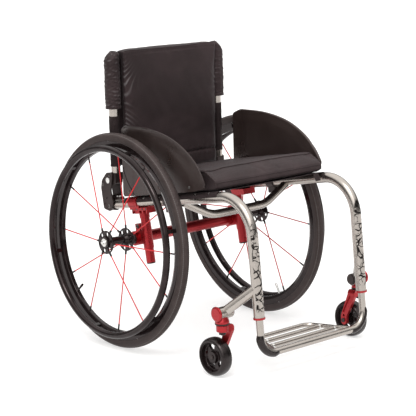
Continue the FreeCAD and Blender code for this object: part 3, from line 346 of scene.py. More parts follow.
def grid_faces(rows, columns, closed_rows=False, closed_columns=False):
    """Quads of a grid of points stored row by row."""
    faces = []
    for row in range(rows if closed_rows else rows - 1):
        ahead = (row + 1) % rows
        for column in range(columns if closed_columns else columns - 1):
            beside = (column + 1) % columns
            faces.append((row * columns + column, row * columns + beside, ahead * columns + beside,
                          ahead * columns + column))
    return faces


def capped_faces(rows, columns):
    """Faces of a tube stored ring by ring, with both ends closed."""
    ends = [tuple(range(columns)), tuple(range((rows - 1) * columns, rows * columns))]
    return grid_faces(rows, columns, False, True) + ends


def edit_mesh(mesh, change):
    work = bmesh.new()
    work.from_mesh(mesh)
    change(work)
    work.to_mesh(mesh)
    work.free()


def new_object(name, points, faces, sharp=40):
    """A smooth-shaded object with outward normals, and creases sharper than the angle kept."""
    mesh = bpy.data.meshes.new(name)
    mesh.from_pydata([tuple(point) for point in points], [], faces)
    edit_mesh(mesh, lambda work: bmesh.ops.recalc_face_normals(work, faces=work.faces))
    mesh.polygons.foreach_set("use_smooth", [True] * len(mesh.polygons))
    if sharp:
        mesh.set_sharp_from_angle(angle=radians(sharp))
    return add_object(name, mesh)


def finish_piece(piece, finish, body, *nodes):
    """Gives a piece its material and slot, lets it ride, and hides the CAD nodes it stands for."""
    piece.data.materials.clear()
    piece.data.materials.append(MATERIALS[finish])
    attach(piece, body)
    if nodes:
        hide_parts(*nodes)
    return piece


def add_up(*meshes):
    """Joins (points, faces) pairs into one."""
    points, faces = [], []
    for more, quads in meshes:
        start = len(points)
        points += more
        faces += [tuple(start + index for index in quad) for quad in quads]
    return points, faces


def turned(profile, place, segments=32):
    """Points and faces of a closed (radius, height) profile in millimetres, turned about place's Z."""
    points = []
    for step in range(segments):
        angle = 2 * pi * step / segments
        for radius, height in profile:
            points.append(place @ mm(radius * cos(angle), radius * sin(angle), height))
    return points, grid_faces(segments, len(profile), True, True)


def tube_along(route, radius, sides, closed=False, normal=Z_AXIS):
    """Points and faces of a round cord along points in metres; its ends taper to a blunt tip."""
    count = len(route)
    points = []
    for index, middle in enumerate(route):
        before = route[index - 1] if closed or index else route[0]
        after = route[(index + 1) % count] if closed or index < count - 1 else route[-1]
        heading = (after - before).normalized()
        side = heading.cross(normal)
        side = side.normalized() if side.length > 1e-4 else X_AXIS
        up = side.cross(heading)
        size = radius if closed or 0 < index < count - 1 else radius * 0.4
        for step in range(sides):
            angle = 2 * pi * step / sides
            points.append(middle + (side * cos(angle) + up * sin(angle)) * size)
    return points, grid_faces(count, sides, True, True) if closed else capped_faces(count, sides)


def frame_of(origin, direction, sideways=None):
    """A placement whose Z points along direction."""
    z = Vector(direction).normalized()
    hint = Vector(sideways) if sideways else (Z_AXIS if abs(z.z) < 0.9 else Y_AXIS)
    x = (hint - z * hint.dot(z)).normalized()
    place = Matrix((x, z.cross(x), z)).transposed().to_4x4()
    place.translation = Vector(origin)
    return place


def bolt(origin, direction, radius=4.0, height=3.0, washer=True):
    """A domed socket screw head standing on a surface, with a washer under it."""
    socket, foot = radius * 0.48, -0.6
    profile = [(0.01, foot)]
    if washer:
        profile += [(radius * 1.35, foot), (radius * 1.35, 0.5), (radius * 1.02, 0.6)]
    else:
        profile += [(radius, foot)]
    profile += [(radius, height * 0.45), (radius * 0.9, height * 0.8), (radius * 0.68, height)]
    profile += [(socket, height), (socket, height * 0.35), (0.01, height * 0.3)]
    return turned(profile, frame_of(origin, direction), 24)


SEAT_ORIGIN = mm(0, 90.0, 396.33)
SEAT_BACK = Vector((0, 0.98683, -0.16178))
SEAT_UP = Vector((0, 0.16178, 0.98683))


def on_seat(x, back, up):
    """A point of the seat frame, from millimetres to the row frame."""
    return SEAT_ORIGIN + mm(x, 0, 0) + SEAT_BACK * (back * MM) + SEAT_UP * (up * MM)


def spread(low, high, count):
    """Evenly spaced values from low to high."""
    return [low + (high - low) * index / (count - 1) for index in range(count)]


def smooth(value, low, high):
    share = min(1.0, max(0.0, (value - low) / (high - low)))
    return share * share * (3 - 2 * share)


def waves(seed, count, low, high):
    """A repeatable sum of sines in three directions, for folds: returns a function of a point in mm."""
    source = random.Random(seed)
    terms = []
    for _ in range(count):
        length = source.uniform(low, high)
        direction = Vector([source.gauss(0, 1) for _ in range(3)]).normalized()
        terms.append((direction * (2 * pi / length), source.uniform(0, 6.28)))
    return lambda point: sum(sin(turn.dot(point) + phase) for turn, phase in terms) / count ** 0.5


# ---- padded fabric

def remeshed(name, points, faces, voxel):
    """An evenly meshed copy of a closed shape, ready for the cloth solver."""
    piece = new_object(name, points, faces, None)
    modifier = piece.modifiers.new("even", "REMESH")
    modifier.mode = "VOXEL"
    modifier.voxel_size = voxel
    modifier.use_smooth_shade = True
    bake(piece)
    return piece


def bake(piece):
    """Applies every modifier on a piece."""
    bpy.context.view_layer.update()
    result = bpy.data.meshes.new_from_object(piece.evaluated_get(bpy.context.evaluated_depsgraph_get()))
    piece.modifiers.clear()
    old = piece.data
    piece.data = result
    bpy.data.meshes.remove(old)


CLOTH = {"use_pressure": True, "quality": 5, "tension_stiffness": 25, "compression_stiffness": 25,
         "shear_stiffness": 12, "bending_stiffness": 3}
CLOTH_FRAMES = 20


def inflate(piece, most, pressure):
    rest = [vertex.co.copy() for vertex in piece.data.vertices]
    modifier = piece.modifiers.new("swell", "CLOTH")
    for name, value in CLOTH.items():
        setattr(modifier.settings, name, value)
    modifier.settings.uniform_pressure_force = pressure
    modifier.settings.effector_weights.gravity = 0
    modifier.point_cache.frame_start = 1
    modifier.point_cache.frame_end = CLOTH_FRAMES
    for step in range(1, CLOTH_FRAMES + 1):
        SCENE.frame_set(step)
    bake(piece)
    SCENE.frame_set(1)
    for vertex, start in zip(piece.data.vertices, rest):
        move = vertex.co - start
        if move.length > most:
            vertex.co = start + move * (most / move.length)


def subdivide(piece):
    modifier = piece.modifiers.new("fine", "SUBSURF")
    modifier.levels = modifier.render_levels = 1
    bake(piece)


def thicken(piece, thickness, offset=0.0):
    """Adds the modifier that makes a sheet a shell; bake applies it."""
    modifier = piece.modifiers.new("cloth", "SOLIDIFY")
    modifier.thickness = thickness
    modifier.offset = offset


def move_along_normals(piece, amount):
    """Moves every vertex along its normal by amount(point in mm, normal) millimetres."""
    normals = [vertex.normal.copy() for vertex in piece.data.vertices]
    for vertex, normal in zip(piece.data.vertices, normals):
        vertex.co += normal * (amount(vertex.co / MM, normal) * MM)
    piece.data.update()


def on_surface(piece, route, lift):
    """Drops points onto the nearest part of a piece, and lifts them off it a little."""
    tree = BVHTree.FromObject(piece, bpy.context.evaluated_depsgraph_get())
    found = []
    for point in route:
        place, normal, _, _ = tree.find_nearest(point)
        found.append(place + normal * lift)
    return found


def with_cords(piece, cords):
    """Sews cords onto a piece: their meshes become part of it."""
    points = [vertex.co.copy() for vertex in piece.data.vertices]
    faces = [tuple(polygon.vertices) for polygon in piece.data.polygons]
    name = piece.name
    bpy.data.objects.remove(piece)
    return new_object(name, *add_up((points, faces), *cords), sharp=None)


def store_painted_highlights(piece, highlight_shares):
    """Stores a share from 0 to 1 on every vertex, where the fabric and rubber materials paint a highlight in a
    lighter colour.
    """
    marks = piece.data.attributes.new("painted_highlight", "FLOAT", "POINT")
    marks.data.foreach_set("value", highlight_shares)


def mark_painted_highlights(piece, painted_highlight):
    """Stores painted_highlight(point in mm) on every vertex: the share of painted highlight there."""
    store_painted_highlights(piece, [painted_highlight(vertex.co / MM) for vertex in piece.data.vertices])


def straight(start, end, count):
    return [start.lerp(end, step / (count - 1)) for step in range(count)]


def prism(outline, half):
    """Points and faces of a prism whose outline is a list of points on the middle plane."""
    points = [point + Vector((side * half, 0, 0)) for side in (-1, 1) for point in outline]
    return points, capped_faces(2, len(outline))


def make_cushion():
    """Wedge-fronted seat cushion: crowned top, sharp front bevel, piped edges, flat underside."""
    under, half = 17.8, 194.5
    outline = [on_seat(0, *corner) for corner in
               ((42, under), (36, 69), (30, 71.5), (-304, 69.5), (-345, 37), (-343, under))]
    piece = remeshed("seat_cushion_cover", *prism(outline, half * MM), 0.0055)
    inflate(piece, 0.0045, 3.0)
    subdivide(piece)
    fold, ripple = waves(11, 7, 90, 210), waves(12, 9, 22, 60)

    def shape(point, normal):
        back = (point / 1000 - SEAT_ORIGIN).dot(SEAT_BACK) * 1000
        up = (point / 1000 - SEAT_ORIGIN).dot(SEAT_UP) * 1000
        top = smooth(normal.dot(SEAT_UP), 0.5, 0.9)
        across = 1 - (point.x / half) ** 2
        length = 1 - ((back + 135) / 175) ** 2
        crown = 1.6 * max(0, across) * max(0, length) * top
        edge = smooth(abs(point.x), 150, 194) + smooth(-back, 260, 305) + smooth(back, 0, 36)
        soft = fold(point) * 0.55 + ripple(point) * (0.12 + 0.22 * min(1, edge))
        return (crown + soft) * smooth(up, under, under + 12)

    move_along_normals(piece, shape)
    for vertex in piece.data.vertices:
        up = (vertex.co - SEAT_ORIGIN).dot(SEAT_UP)
        if up < under * MM:
            vertex.co += SEAT_UP * (under * MM - up)
        vertex.co.x = max(-0.1975, min(0.1975, vertex.co.x))
    piece.data.update()
    edge = half - 1.5
    top_corners = [on_seat(*corner) for corner in
                   ((-edge, 34, 71), (edge, 34, 71), (edge, -304, 69.5), (-edge, -304, 69.5))]
    ring = []
    for index, corner in enumerate(top_corners):
        ring += straight(corner, top_corners[(index + 1) % 4], 90)[:-1]
    cords = [tube_along(on_surface(piece, ring, 0.0006), 0.0015, 8, True, SEAT_UP)]
    for side in (-1, 1):
        mitre = straight(on_seat(side * edge, -304, 69.5), on_seat(side * edge, -345, 37), 24)
        mitre += straight(on_seat(side * edge, -345, 37), on_seat(side * edge, -343, 20), 8)[1:]
        cords.append(tube_along(on_surface(piece, mitre, 0.0004), 0.0013, 8, False, X_AXIS))
    lip = straight(on_seat(-edge, -345, 37), on_seat(edge, -345, 37), 120)
    cords.append(tube_along(on_surface(piece, lip, 0.0004), 0.0013, 8))
    piece = with_cords(piece, cords)
    finish_piece(piece, "seat_fabric", "frame", "seat_cushion")
    tuple(on_seat(0, 0, under))
    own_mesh(piece)


def make_sling():
    """Seat sling: one sheet over both rails and down their outsides, notched at the rail saddles."""
    radius, wrap, front, rear, pitch = 15.2, radians(84), -346.0, 45.0, 7.0
    rail, steps = 188.0, 9
    notch_front, notch_rear, notch_reach, hem_gap = -14, 30, 163, 4
    profile = []
    for step in range(steps + 1):
        angle = -wrap * (1 - step / steps)
        profile.append((-rail + radius * sin(angle), radius * cos(angle)))
    inner = 34
    for step in range(1, inner):
        x = -rail + 2 * rail * step / inner
        profile.append((x, radius - 1.2 * (1 - (x / rail) ** 2)))
    profile += [(-x, up) for x, up in reversed(profile[:steps + 1])]
    rows = int((rear - front) / pitch) + 1
    backs = spread(front, rear, rows)
    points = [on_seat(x, back, up) for back in backs for x, up in profile]
    columns = len(profile)
    faces = []
    for quad in grid_faces(rows, columns):
        back = sum(backs[index // columns] for index in quad) / 4
        x = sum(profile[index % columns][0] for index in quad) / 4
        if not (notch_front < back < notch_rear and abs(x) > notch_reach):
            faces.append(quad)
    piece = new_object("seat_sling_cloth", points, faces, None)
    drop_loose_points(piece)
    thicken(piece, 0.0011)
    bake(piece)
    hems = []
    for side in (-1, 1):
        for inset in (4.0, 8.0):
            angle = wrap - inset / radius
            reach = radius + 0.7
            line = [on_seat(side * (rail + reach * sin(angle)), back, reach * cos(angle))
                    for back in backs if not notch_front - hem_gap < back < notch_rear + hem_gap]
            split = sum(1 for back in backs if back <= notch_front - hem_gap)
            for part in (line[:split], line[split:]):
                if len(part) > 2:
                    hems.append(tube_along(part, 0.00035, 6))
    piece = with_cords(piece, hems)
    finish_piece(piece, "black_webbing", "frame", "seat_sling")


def drop_loose_points(piece):
    """Drops points that no face uses."""
    def drop(work):
        loose = [vertex for vertex in work.verts if not vertex.link_faces]
        bmesh.ops.delete(work, geom=loose, context="VERTS")

    edit_mesh(piece.data, drop)


def make_back_pad():
    """Back pad: a soft slab rolled over the top of the back sling, sewn across near its foot."""
    half, front, rear, bottom, top, lap = 167.5, 158.5, 178.2, 454.5, 811.5, 191.0
    section = [(front, bottom), (front, top - 3), (front + 4, top), (lap, top), (lap, 792), (rear, 791)]
    outline = [mm(0, y, z) for y, z in section + [(rear, bottom)]]
    piece = remeshed("back_pad_cover", *prism(outline, half * MM), 0.005)
    inflate(piece, 0.005, 3.5)
    subdivide(piece)
    fold, ripple = waves(21, 6, 120, 260), waves(22, 9, 26, 70)
    pucker_phase, pucker_size = waves(23, 4, 90, 220), waves(24, 3, 45, 130)
    seam_height = 499

    def pucker(point, sharpness):
        """How near a pucker's ridge, and how deep: they fan from the sewn sides, deepest half-way up."""
        edge = half - abs(point.x)
        near_edge = exp(-max(0.0, edge) / (11 if point.x < 0 else 9))
        fan = point.z - 1.05 * edge * tanh((point.z - 672) / 40)
        flat = Vector((point.x, front, point.z))
        ridge = (0.5 + 0.5 * sin(2 * pi * fan / 16 + 3.4 * pucker_phase(flat))) ** sharpness
        middle = smooth(point.z, 540, 630) * (1 - smooth(point.z, 730, 790))
        uneven = max(0.0, 0.85 + 0.4 * pucker_size(flat)) * (1.0 if point.x < 0 else 0.4)
        return ridge, near_edge * (0.10 + 0.90 * middle) * uneven

    def shape(point, normal):
        forward = smooth(-normal.y, 0.2, 0.8)
        ridge, depth = pucker(point, 2.4)
        folded = 3.2 * (ridge - 0.4) * depth
        seam = -3.0 * exp(-((point.z - seam_height - 2.0 * sin(point.x / 60)) / 3.4) ** 2)
        gathers = 0.9 * sin(point.x / 3.6 + 1.8 * pucker_phase(point))
        gathers *= exp(-abs(point.z - seam_height) / 11)
        roll = -1.3 * exp(-((point.z - 796) / 2.6) ** 2)
        return forward * (folded + seam + gathers + roll) + fold(point) * 0.8 + ripple(point) * 0.28

    # Painted highlight along the pucker ridges of the pad's front face.
    def painted_highlight(point):
        ridge, depth = pucker(point, 7.0)
        return min(1.0, 2.8 * ridge * depth) if point.y < front + 7 and point.x < half - 2 else 0.0

    move_along_normals(piece, shape)
    for vertex in piece.data.vertices:
        droop = smooth(abs(vertex.co.x) / MM, 128, 172) * smooth(vertex.co.z / MM, 740, 815)
        vertex.co.z -= 0.004 * droop ** 1.6
        vertex.co.y = min(vertex.co.y, 0.1795) if vertex.co.z < 0.788 else vertex.co.y
        vertex.co.z = min(vertex.co.z, 0.8155)
    piece.data.update()
    edge = half - 3
    route = straight(mm(-edge, front, 470), mm(-edge, front, 802), 70)
    route += straight(mm(-edge, front, 804), mm(edge, front, 804), 110)
    route += straight(mm(edge, front, 802), mm(edge, front, 470), 70)
    cord = tube_along(on_surface(piece, route, 0.0002), 0.0012, 8, False, Y_AXIS)
    piece = with_cords(piece, [cord])
    mark_painted_highlights(piece, painted_highlight)
    finish_piece(piece, "fabric_with_painted_highlights", "backrest", "back_pad")


POST_X, POST_Y = 189.0, 182.5


def round_about(step, count):
    """The level direction of one of count equal steps about Z, and its angle."""
    angle = 2 * pi * step / count
    return Vector((cos(angle), sin(angle), 0)), angle


def make_sleeve(name, sign):
    """Padded sleeve on a back post: puffy, creased across, gathered into its hem, round on top."""
    axis_x, axis_y, hem, top = sign * POST_X, POST_Y, 648.0, 803.0
    crease, wave = waves(31 + sign, 10, 8, 22), waves(41 + sign, 5, 40, 110)
    rows, columns = 120, 96
    points = []
    for row in range(rows):
        share = row / (rows - 1)
        for column in range(columns):
            outward, angle = round_about(column, columns)
            outer = smooth(sign * outward.x, -0.7, 0.9)
            crown = top + 4 - 7 * outer * (1 - smooth(share, 0.985, 1.0))
            height = hem + (crown - hem) * share
            drop, rounding = crown - height, 11 + 17 * outer
            shoulder = sqrt(max(0.0, 1 - max(0.0, 1 - drop / rounding) ** 2.2))
            base = 20.7 + 0.9 * sin(pi * share) + 0.7 * outer * (1 - share)
            point = Vector((axis_x, axis_y, height)) + outward * 20
            gather = 0.7 * sin(angle * 17 + 2 * wave(point)) * exp(-(height - hem) / 10)
            band = -1.2 * exp(-((height - hem - 9) / 1.8) ** 2)
            soft = 0.55 * crease(Vector((point.x, point.y, point.z * 1.8))) + 0.5 * wave(point)
            radius = (base + gather + band + soft * min(1.0, share * 8 + 0.3)) * max(0.02, shoulder)
            points.append((Vector((axis_x, axis_y, height)) + outward * min(radius, 23.0)) * MM)
    for column in range(columns):
        outward, _ = round_about(column, columns)
        points.append((Vector((axis_x, axis_y, hem + 1.5)) + outward * 13.0) * MM)
    faces = grid_faces(rows, columns, False, True)
    under = rows * columns
    faces += [(under + c, under + (c + 1) % columns, (c + 1) % columns, c) for c in range(columns)]
    faces.append(tuple(range((rows - 1) * columns, rows * columns)))
    piece = new_object(f"back_sleeve_cover_{name}", points, faces, None)
    seam = [mm(axis_x + sign * 3, axis_y + 21.5, z) for z in range(652, 794, 3)]
    piece = with_cords(piece, [tube_along(on_surface(piece, seam, 0.0002), 0.0007, 6)])

    # Painted highlight along the sleeve's crease ridges.
    def painted_highlight(point):
        outward = Vector((point.x - axis_x, point.y - axis_y, 0)).normalized()
        at = Vector((axis_x, axis_y, point.z)) + outward * 20
        return 0.45 * smooth(crease(Vector((at.x, at.y, at.z * 1.8))), 0.5, 1.7)

    mark_painted_highlights(piece, painted_highlight)
    finish_piece(piece, "fabric_with_painted_highlights", "backrest", f"back_sleeve_{name}")
    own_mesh(piece)


def make_upholstery():
    """Back sling behind the pad, with its thin sleeves round the posts and the tension straps behind."""
    rows, columns, half, bottom, top = 40, 52, 175.0, 488.0, 788.0
    drape = waves(51, 5, 60, 160)
    points = []
    for z in spread(bottom, top, rows):
        for x in spread(-half, half, columns):
            y = 181.2 + 2.6 * (1 - (x / half) ** 2) + 0.35 * drape(Vector((x, 0, z)))
            points.append(mm(x, y, z))
    piece = new_object("back_sling_cloth", points, grid_faces(rows, columns), None)
    thicken(piece, 0.0016)
    bake(piece)
    finish_piece(piece, "black_webbing", "backrest", "back_sling")
    straps = [make_strap(number, z) for number, z in enumerate((530, 592, 654, 716))]
    straps += [make_thin_sleeve(name, sign) for name, sign in SIDES]


def make_strap(number, z):
    """One tension strap across the back of the sling, with its ladder buckle."""
    half, width, thickness = 173.0, 38.0, 1.5
    columns = 60
    profile = [(-0.5, -0.5), (-0.5, 0.5), (0.5, 0.5), (0.5, -0.5)]
    points = []
    for x in spread(-half, half, columns):
        y = 186.2 + 3.6 * (1 - (x / half) ** 2) + 0.5 * sin(x / 31 + number)
        for across, through in profile:
            points.append(mm(x, y + through * thickness, z + across * width))
    meshes = [(points, capped_faces(columns, len(profile)))]
    middle = mm(70 - 12 * (number % 2), 190.8, z)
    rungs = [(mm(offset, 0, -22), mm(offset, 0, 22), 0.0021) for offset in (-14, 0, 14)]
    rails = [(mm(-15, 0, side), mm(15, 0, side), 0.0023) for side in (-22, 22)]
    for start, end, radius in rungs + rails:
        meshes.append(tube_along(straight(middle + start, middle + end, 6), radius, 8, False, Y_AXIS))
    strap = new_object(f"back_strap_{number + 1}", *add_up(*meshes))
    return finish_piece(strap, "black_webbing", "backrest")


def make_thin_sleeve(name, sign):
    """Thin wrinkled sleeve of the back sling round a post, below the padded one."""
    rows, columns, bottom, top = 60, 64, 488.0, 627.0
    crease = waves(61 + sign, 9, 12, 40)
    points = []
    for z in spread(bottom, top, rows):
        for column in range(columns):
            outward, _ = round_about(column, columns)
            middle = Vector((sign * POST_X, POST_Y, z))
            edge = 0.45 * exp(-((z - bottom) / 2.4) ** 2) + 0.45 * exp(-((z - top) / 2.4) ** 2)
            radius = 13.75 + 0.35 * crease(middle + outward * 14) + edge
            points.append((middle + outward * max(13.0, radius)) * MM)
    piece = new_object(f"post_sleeve_{name}", points, grid_faces(rows, columns, False, True), None)
    thicken(piece, 0.0008, -0.6)
    bake(piece)
    return finish_piece(piece, "black_webbing", "backrest")


# ---- wheels

def wheel_place(name):
    joint = JOINTS[f"wheel_{name}_spin"]
    return frame_of(joint["pos_m"], joint["axis"], (0, 1, 0))


def make_tyre(name):
    """Road tyre: round tread with sipes on its shoulders and two grooves, ribs on the side walls."""
    place = wheel_place(name)
    segments, pitch = 720, 4
    bead, rise, half_width = 285, 11, 13
    outer = []
    for step in range(-24, 25):
        angle = radians(step * 90 / 24)
        outer.append((angle, bead + rise * cos(angle), half_width * sin(angle)))
    wall = []
    for step in range(1, 9):
        rib = 0.35 if step in (3, 6) else 0.0
        wall.append((bead - step * 1.45, half_width - 0.9 * (step / 8) ** 2 + rib - 0.35))
    plain = [0.0] * len(wall)
    points, painted_highlight_shares = [], []
    for segment in range(segments):
        turn = 2 * pi * segment / segments
        sipe, nub = segment % pitch == 0, segment % 2 == 0
        ring = [(radius, -width) for radius, width in reversed(wall)]
        for angle, radius, width in outer:
            lean = abs(degrees(angle))
            depth = 0.9 if sipe and 24 < lean < 44 else 0.6 if 9 < lean < 15 else 0.0
            if 47 < lean < 54:
                depth = -0.6 if nub else 0.6
            ring.append((radius - depth * cos(angle), width - depth * sin(angle)))
        ring += wall
        # The raised nubs get a share of painted highlight, which the rubber paints pale.
        nub_painted_highlights = [0.8 if nub and 47 < abs(degrees(angle)) < 54 else 0.0 for angle, _, _ in outer]
        painted_highlight_shares += plain + nub_painted_highlights + plain
        for radius, width in ring:
            points.append(place @ mm(radius * cos(turn), radius * sin(turn), width))
    columns = len(wall) * 2 + len(outer)
    piece = new_object(f"road_tyre_{name}", points, grid_faces(segments, columns, True, True), 30)
    store_painted_highlights(piece, painted_highlight_shares)
    finish_piece(piece, "tyre_rubber", f"wheel_{name}", f"tyre_{name}")


def make_valve(name, sign):
    """Tyre valve with its cap, pointing at the hub."""
    place = wheel_place(name)
    up = place.inverted().to_3x3() @ Z_AXIS
    turn = atan2(up.y, up.x) - sign * radians(132.6 if sign < 0 else 205.0)
    outward = place.to_3x3() @ Vector((cos(turn), sin(turn), 0))
    foot = place.translation + outward * 0.2508
    stem = [(0.01, -3), (4.2, -3), (4.2, 1.2), (2.9, 2.0), (2.9, 16), (2.4, 16.4), (2.4, 18)]
    cap = [(3.4, 18.2), (3.4, 29), (2.6, 31.5), (0.01, 32)]
    piece = new_object(f"valve_{name}", *turned(stem + cap, frame_of(foot, -outward), 20))
    finish_piece(piece, "black_gloss" if sign < 0 else "silver_metal", f"wheel_{name}")


def make_ferrules(name):
    """Threaded ferrules where the spokes leave the hub flanges."""
    profile = [(0.01, -2), (2.9, -2), (2.9, 6), (2.5, 6.4), (2.5, 7.4), (2.9, 7.8), (2.9, 9), (2.1, 11),
               (0.01, 11.2)]
    place = wheel_place(name)
    meshes = []
    for index in range(12):
        angle = radians(30 * index)
        flange = -29.8 if index % 2 == 0 else 38.5
        lean = 2.0 if flange > 0 else -2.0
        outward = Vector((sin(angle), cos(angle), 0))
        start = outward * 30.5 + Vector((0, 0, flange))
        end = outward * 249.6 + Vector((0, 0, lean))
        at = frame_of(place @ (start * MM), place.to_3x3() @ (end - start))
        meshes.append(turned(profile, at, 16))
    piece = new_object(f"spoke_ferrules_{name}", *add_up(*meshes))
    finish_piece(piece, "black_gloss", f"wheel_{name}")


def make_caster_tyre(name):
    """Solid caster tyre: a fat round band with a faint moulding line."""
    joint = JOINTS[f"caster_{name}_roll"]
    place = frame_of(joint["pos_m"], joint["axis"], (0, 0, 1))
    profile = []
    for step in range(-20, 21):
        angle = radians(step * 90 / 20)
        across = copysign(abs(sin(angle)) ** 0.86, angle)
        ridge = 0.12 if step == 0 else 0.0
        profile.append((41.05 + 9.7 * cos(angle) ** 0.8 + ridge, 17.4 * across))
    profile += [(41.05, 15.6), (41.05, -15.6)]
    piece = new_object(f"caster_band_{name}", *turned(profile, place, 120), 50)
    finish_piece(piece, "caster_rubber", f"caster_{name}", f"caster_tyre_{name}")


# ---- guards, bumpers and screws

GUARD_OUTLINE = [(130, 598, 12), (104, 611, 30), (-5, 612, 480), (-107, 591, 270), (-193, 537.5, 182),
                 (-226, 477, 14), (-164, 458, 40), (131, 410, 8)]
GUARD_X = 204.9


def rounded(corners):
    """Points a few millimetres apart along an outline whose corners are (x, y, radius)."""
    step = 3.0
    points = []
    count = len(corners)
    for index, (x, y, radius) in enumerate(corners):
        corner = Vector((x, y))
        back = (Vector(corners[index - 1][:2]) - corner).normalized()
        ahead = (Vector(corners[(index + 1) % count][:2]) - corner).normalized()
        half = back.angle(ahead) / 2
        reach = radius / tan(half)
        centre = corner + (back + ahead).normalized() * (radius / sin(half))
        first, last = corner + back * reach - centre, corner + ahead * reach - centre
        sweep = first.angle_signed(last)
        steps = max(3, int(abs(sweep) * radius / step))
        for part in range(steps + 1):
            turn = -sweep * part / steps
            points.append(centre + Vector((first.x * cos(turn) - first.y * sin(turn),
                                           first.x * sin(turn) + first.y * cos(turn))))
    dense = []
    for index, point in enumerate(points):
        following = points[(index + 1) % len(points)]
        gap = (following - point).length
        if gap < 0.05:
            continue
        pieces = max(1, round(gap / (step * 1.4)))
        dense += [point.lerp(following, part / pieces) for part in range(pieces)]
    return dense


def filled(ring, pitch):
    """Even triangles over the inside of a flat ring: returns the added points and all the faces."""
    low = Vector((min(point.x for point in ring), min(point.y for point in ring)))
    high = Vector((max(point.x for point in ring), max(point.y for point in ring)))
    added = []
    for row in range(int((high.y - low.y) / pitch) + 1):
        for column in range(int((high.x - low.x) / pitch) + 1):
            point = low + Vector((column + 0.5 * (row % 2), row)) * pitch
            if min((point - corner).length for corner in ring) > pitch * 0.6 and inside(point, ring):
                added.append(point)
    edges = [(index, (index + 1) % len(ring)) for index in range(len(ring))]
    faces = delaunay_2d_cdt(ring + added, edges, [], 1, 1e-4)[2]
    return added, faces


def inside(point, ring):
    """Whether a line from the point crosses the ring an odd number of times."""
    odd = False
    for index, corner in enumerate(ring):
        before = ring[index - 1]
        if (corner.y > point.y) != (before.y > point.y):
            crossing = corner.x + (point.y - corner.y) * (before.x - corner.x) / (before.y - corner.y)
            if crossing > point.x:
                odd = not odd
    return odd


def guard_x(y, z, share):
    """How far out the guard's surface stands: a slow flare, then a lip along the top and front."""
    upper = smooth(z, 470, 560) * smooth(-y, -128, -90)
    front = smooth(-y, 150, 200) * smooth(z, 462, 490)
    rim_side = max(upper, front)
    flare = 4.4 * smooth(share, 0.62, 1.0) * rim_side
    lip = 3.8 * smooth(share, 0.965, 1.0) * rim_side
    return GUARD_X + flare + lip


def make_guard(name, sign):
    """Moulded side guard, gently flared, with a rolled lip, its seam and its fixing screws."""
    outline = rounded(GUARD_OUTLINE)
    middle = Vector((-35, 520))
    shares = [1 - 0.4 * (step / 15) ** 2 - 0.0007 * step for step in range(16)]
    points = []
    for share in shares:
        for corner in outline:
            place = middle.lerp(corner, share)
            points.append(mm(sign * guard_x(place.x, place.y, share), place.x, place.y))
    columns = len(outline)
    faces = grid_faces(len(shares), columns, False, True)
    last = (len(shares) - 1) * columns
    added, middle_faces = filled([middle.lerp(corner, shares[-1]) for corner in outline], 5.5)
    points += [mm(sign * GUARD_X, place.x, place.y) for place in added]
    faces += [tuple(last + index for index in face) for face in middle_faces]
    piece = new_object(f"side_guard_{name}", points, faces, 55)
    thicken(piece, 0.0025)
    bevel = piece.modifiers.new("edge", "BEVEL")
    bevel.width = 0.0008
    bevel.segments = 2
    bevel.limit_method = "ANGLE"
    bevel.angle_limit = radians(60)
    bake(piece)
    piece.data.polygons.foreach_set("use_smooth", [True] * len(piece.data.polygons))
    seam = []
    for step in range(40):
        share = step / 39
        seam.append(mm(sign * 206.3, 127 - 44 * share ** 1.6, 494 - 72 * share))
    cord = tube_along(seam, 0.0011, 8, False, X_AXIS)
    screws = [bolt(mm(sign * 206.2, y, z), (sign, 0, 0), 3.2, 2.0)
              for y, z in ((108, 428), (20, 439), (-60, 452), (-150, 468), (-196, 486))]
    finish_piece(piece, "guard_plastic", "frame", f"guard_{name}")
    trim = new_object(f"guard_seam_{name}", *add_up(cord), sharp=None)
    finish_piece(trim, "black_gloss", "frame")
    heads = new_object(f"guard_screws_{name}", *add_up(*screws))
    finish_piece(heads, "dark_steel", "frame")


LEG_TURN = radians(4.716)
LEG_FOOT_Y = -400.1


def on_leg(x, y, z):
    """A point of the leg frame, from millimetres to the row frame."""
    return mm(x, LEG_FOOT_Y + y * cos(LEG_TURN) + z * sin(LEG_TURN),
              z * cos(LEG_TURN) - y * sin(LEG_TURN))


def make_bumper(name, sign):
    """Rubber crescent round the outside of the footrest's lower corner, with two long grooves."""
    bend, half, low = 47.0, 188.0, 62.0
    centre = Vector((sign * (half - bend), low + bend))
    along, around = 48, 37
    reach = radians(98)
    points = []
    for row in range(along + 1):
        share = row / along
        run = -0.06 + 1.12 * share
        if run < 0:
            radial = Vector((sign, 0))
            base = centre + radial * bend + Vector((0, -run * bend * 1.6))
        elif run > 1:
            radial = Vector((0, -1))
            base = centre + radial * bend - Vector((sign * (run - 1) * bend * 1.6, 0))
        else:
            angle = run * pi / 2
            radial = Vector((sign * cos(angle), -sin(angle)))
            base = centre + radial * bend
        taper = smooth(share, 0.0, 0.12) * smooth(1 - share, 0.0, 0.12)
        for skin in (0, 1):
            for column in range(around):
                side = -1 + 2 * column / (around - 1)
                angle = side * reach if skin == 0 else -side * reach
                fade = 1 - abs(angle / reach) ** 6
                groove = 0.9 * exp(-((abs(degrees(angle)) - 30) / 5) ** 2)
                swell = 3.25 * (0.25 + 0.75 * taper) * (0.3 + 0.7 * fade)
                radius = 9.55 + (swell - groove * taper if skin == 0 else 0.05)
                out = radial * (radius * cos(angle))
                points.append(on_leg(base.x + out.x, radius * sin(angle), base.y + out.y))
    return new_object(f"footrest_bumper_{name}", points, capped_faces(along + 1, around * 2), 50)


def make_bumpers():
    pieces = [make_bumper(name, sign) for name, sign in SIDES]
    for piece in pieces:
        finish_piece(piece, "caster_rubber", "footrest")
    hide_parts("footrest_bumpers")


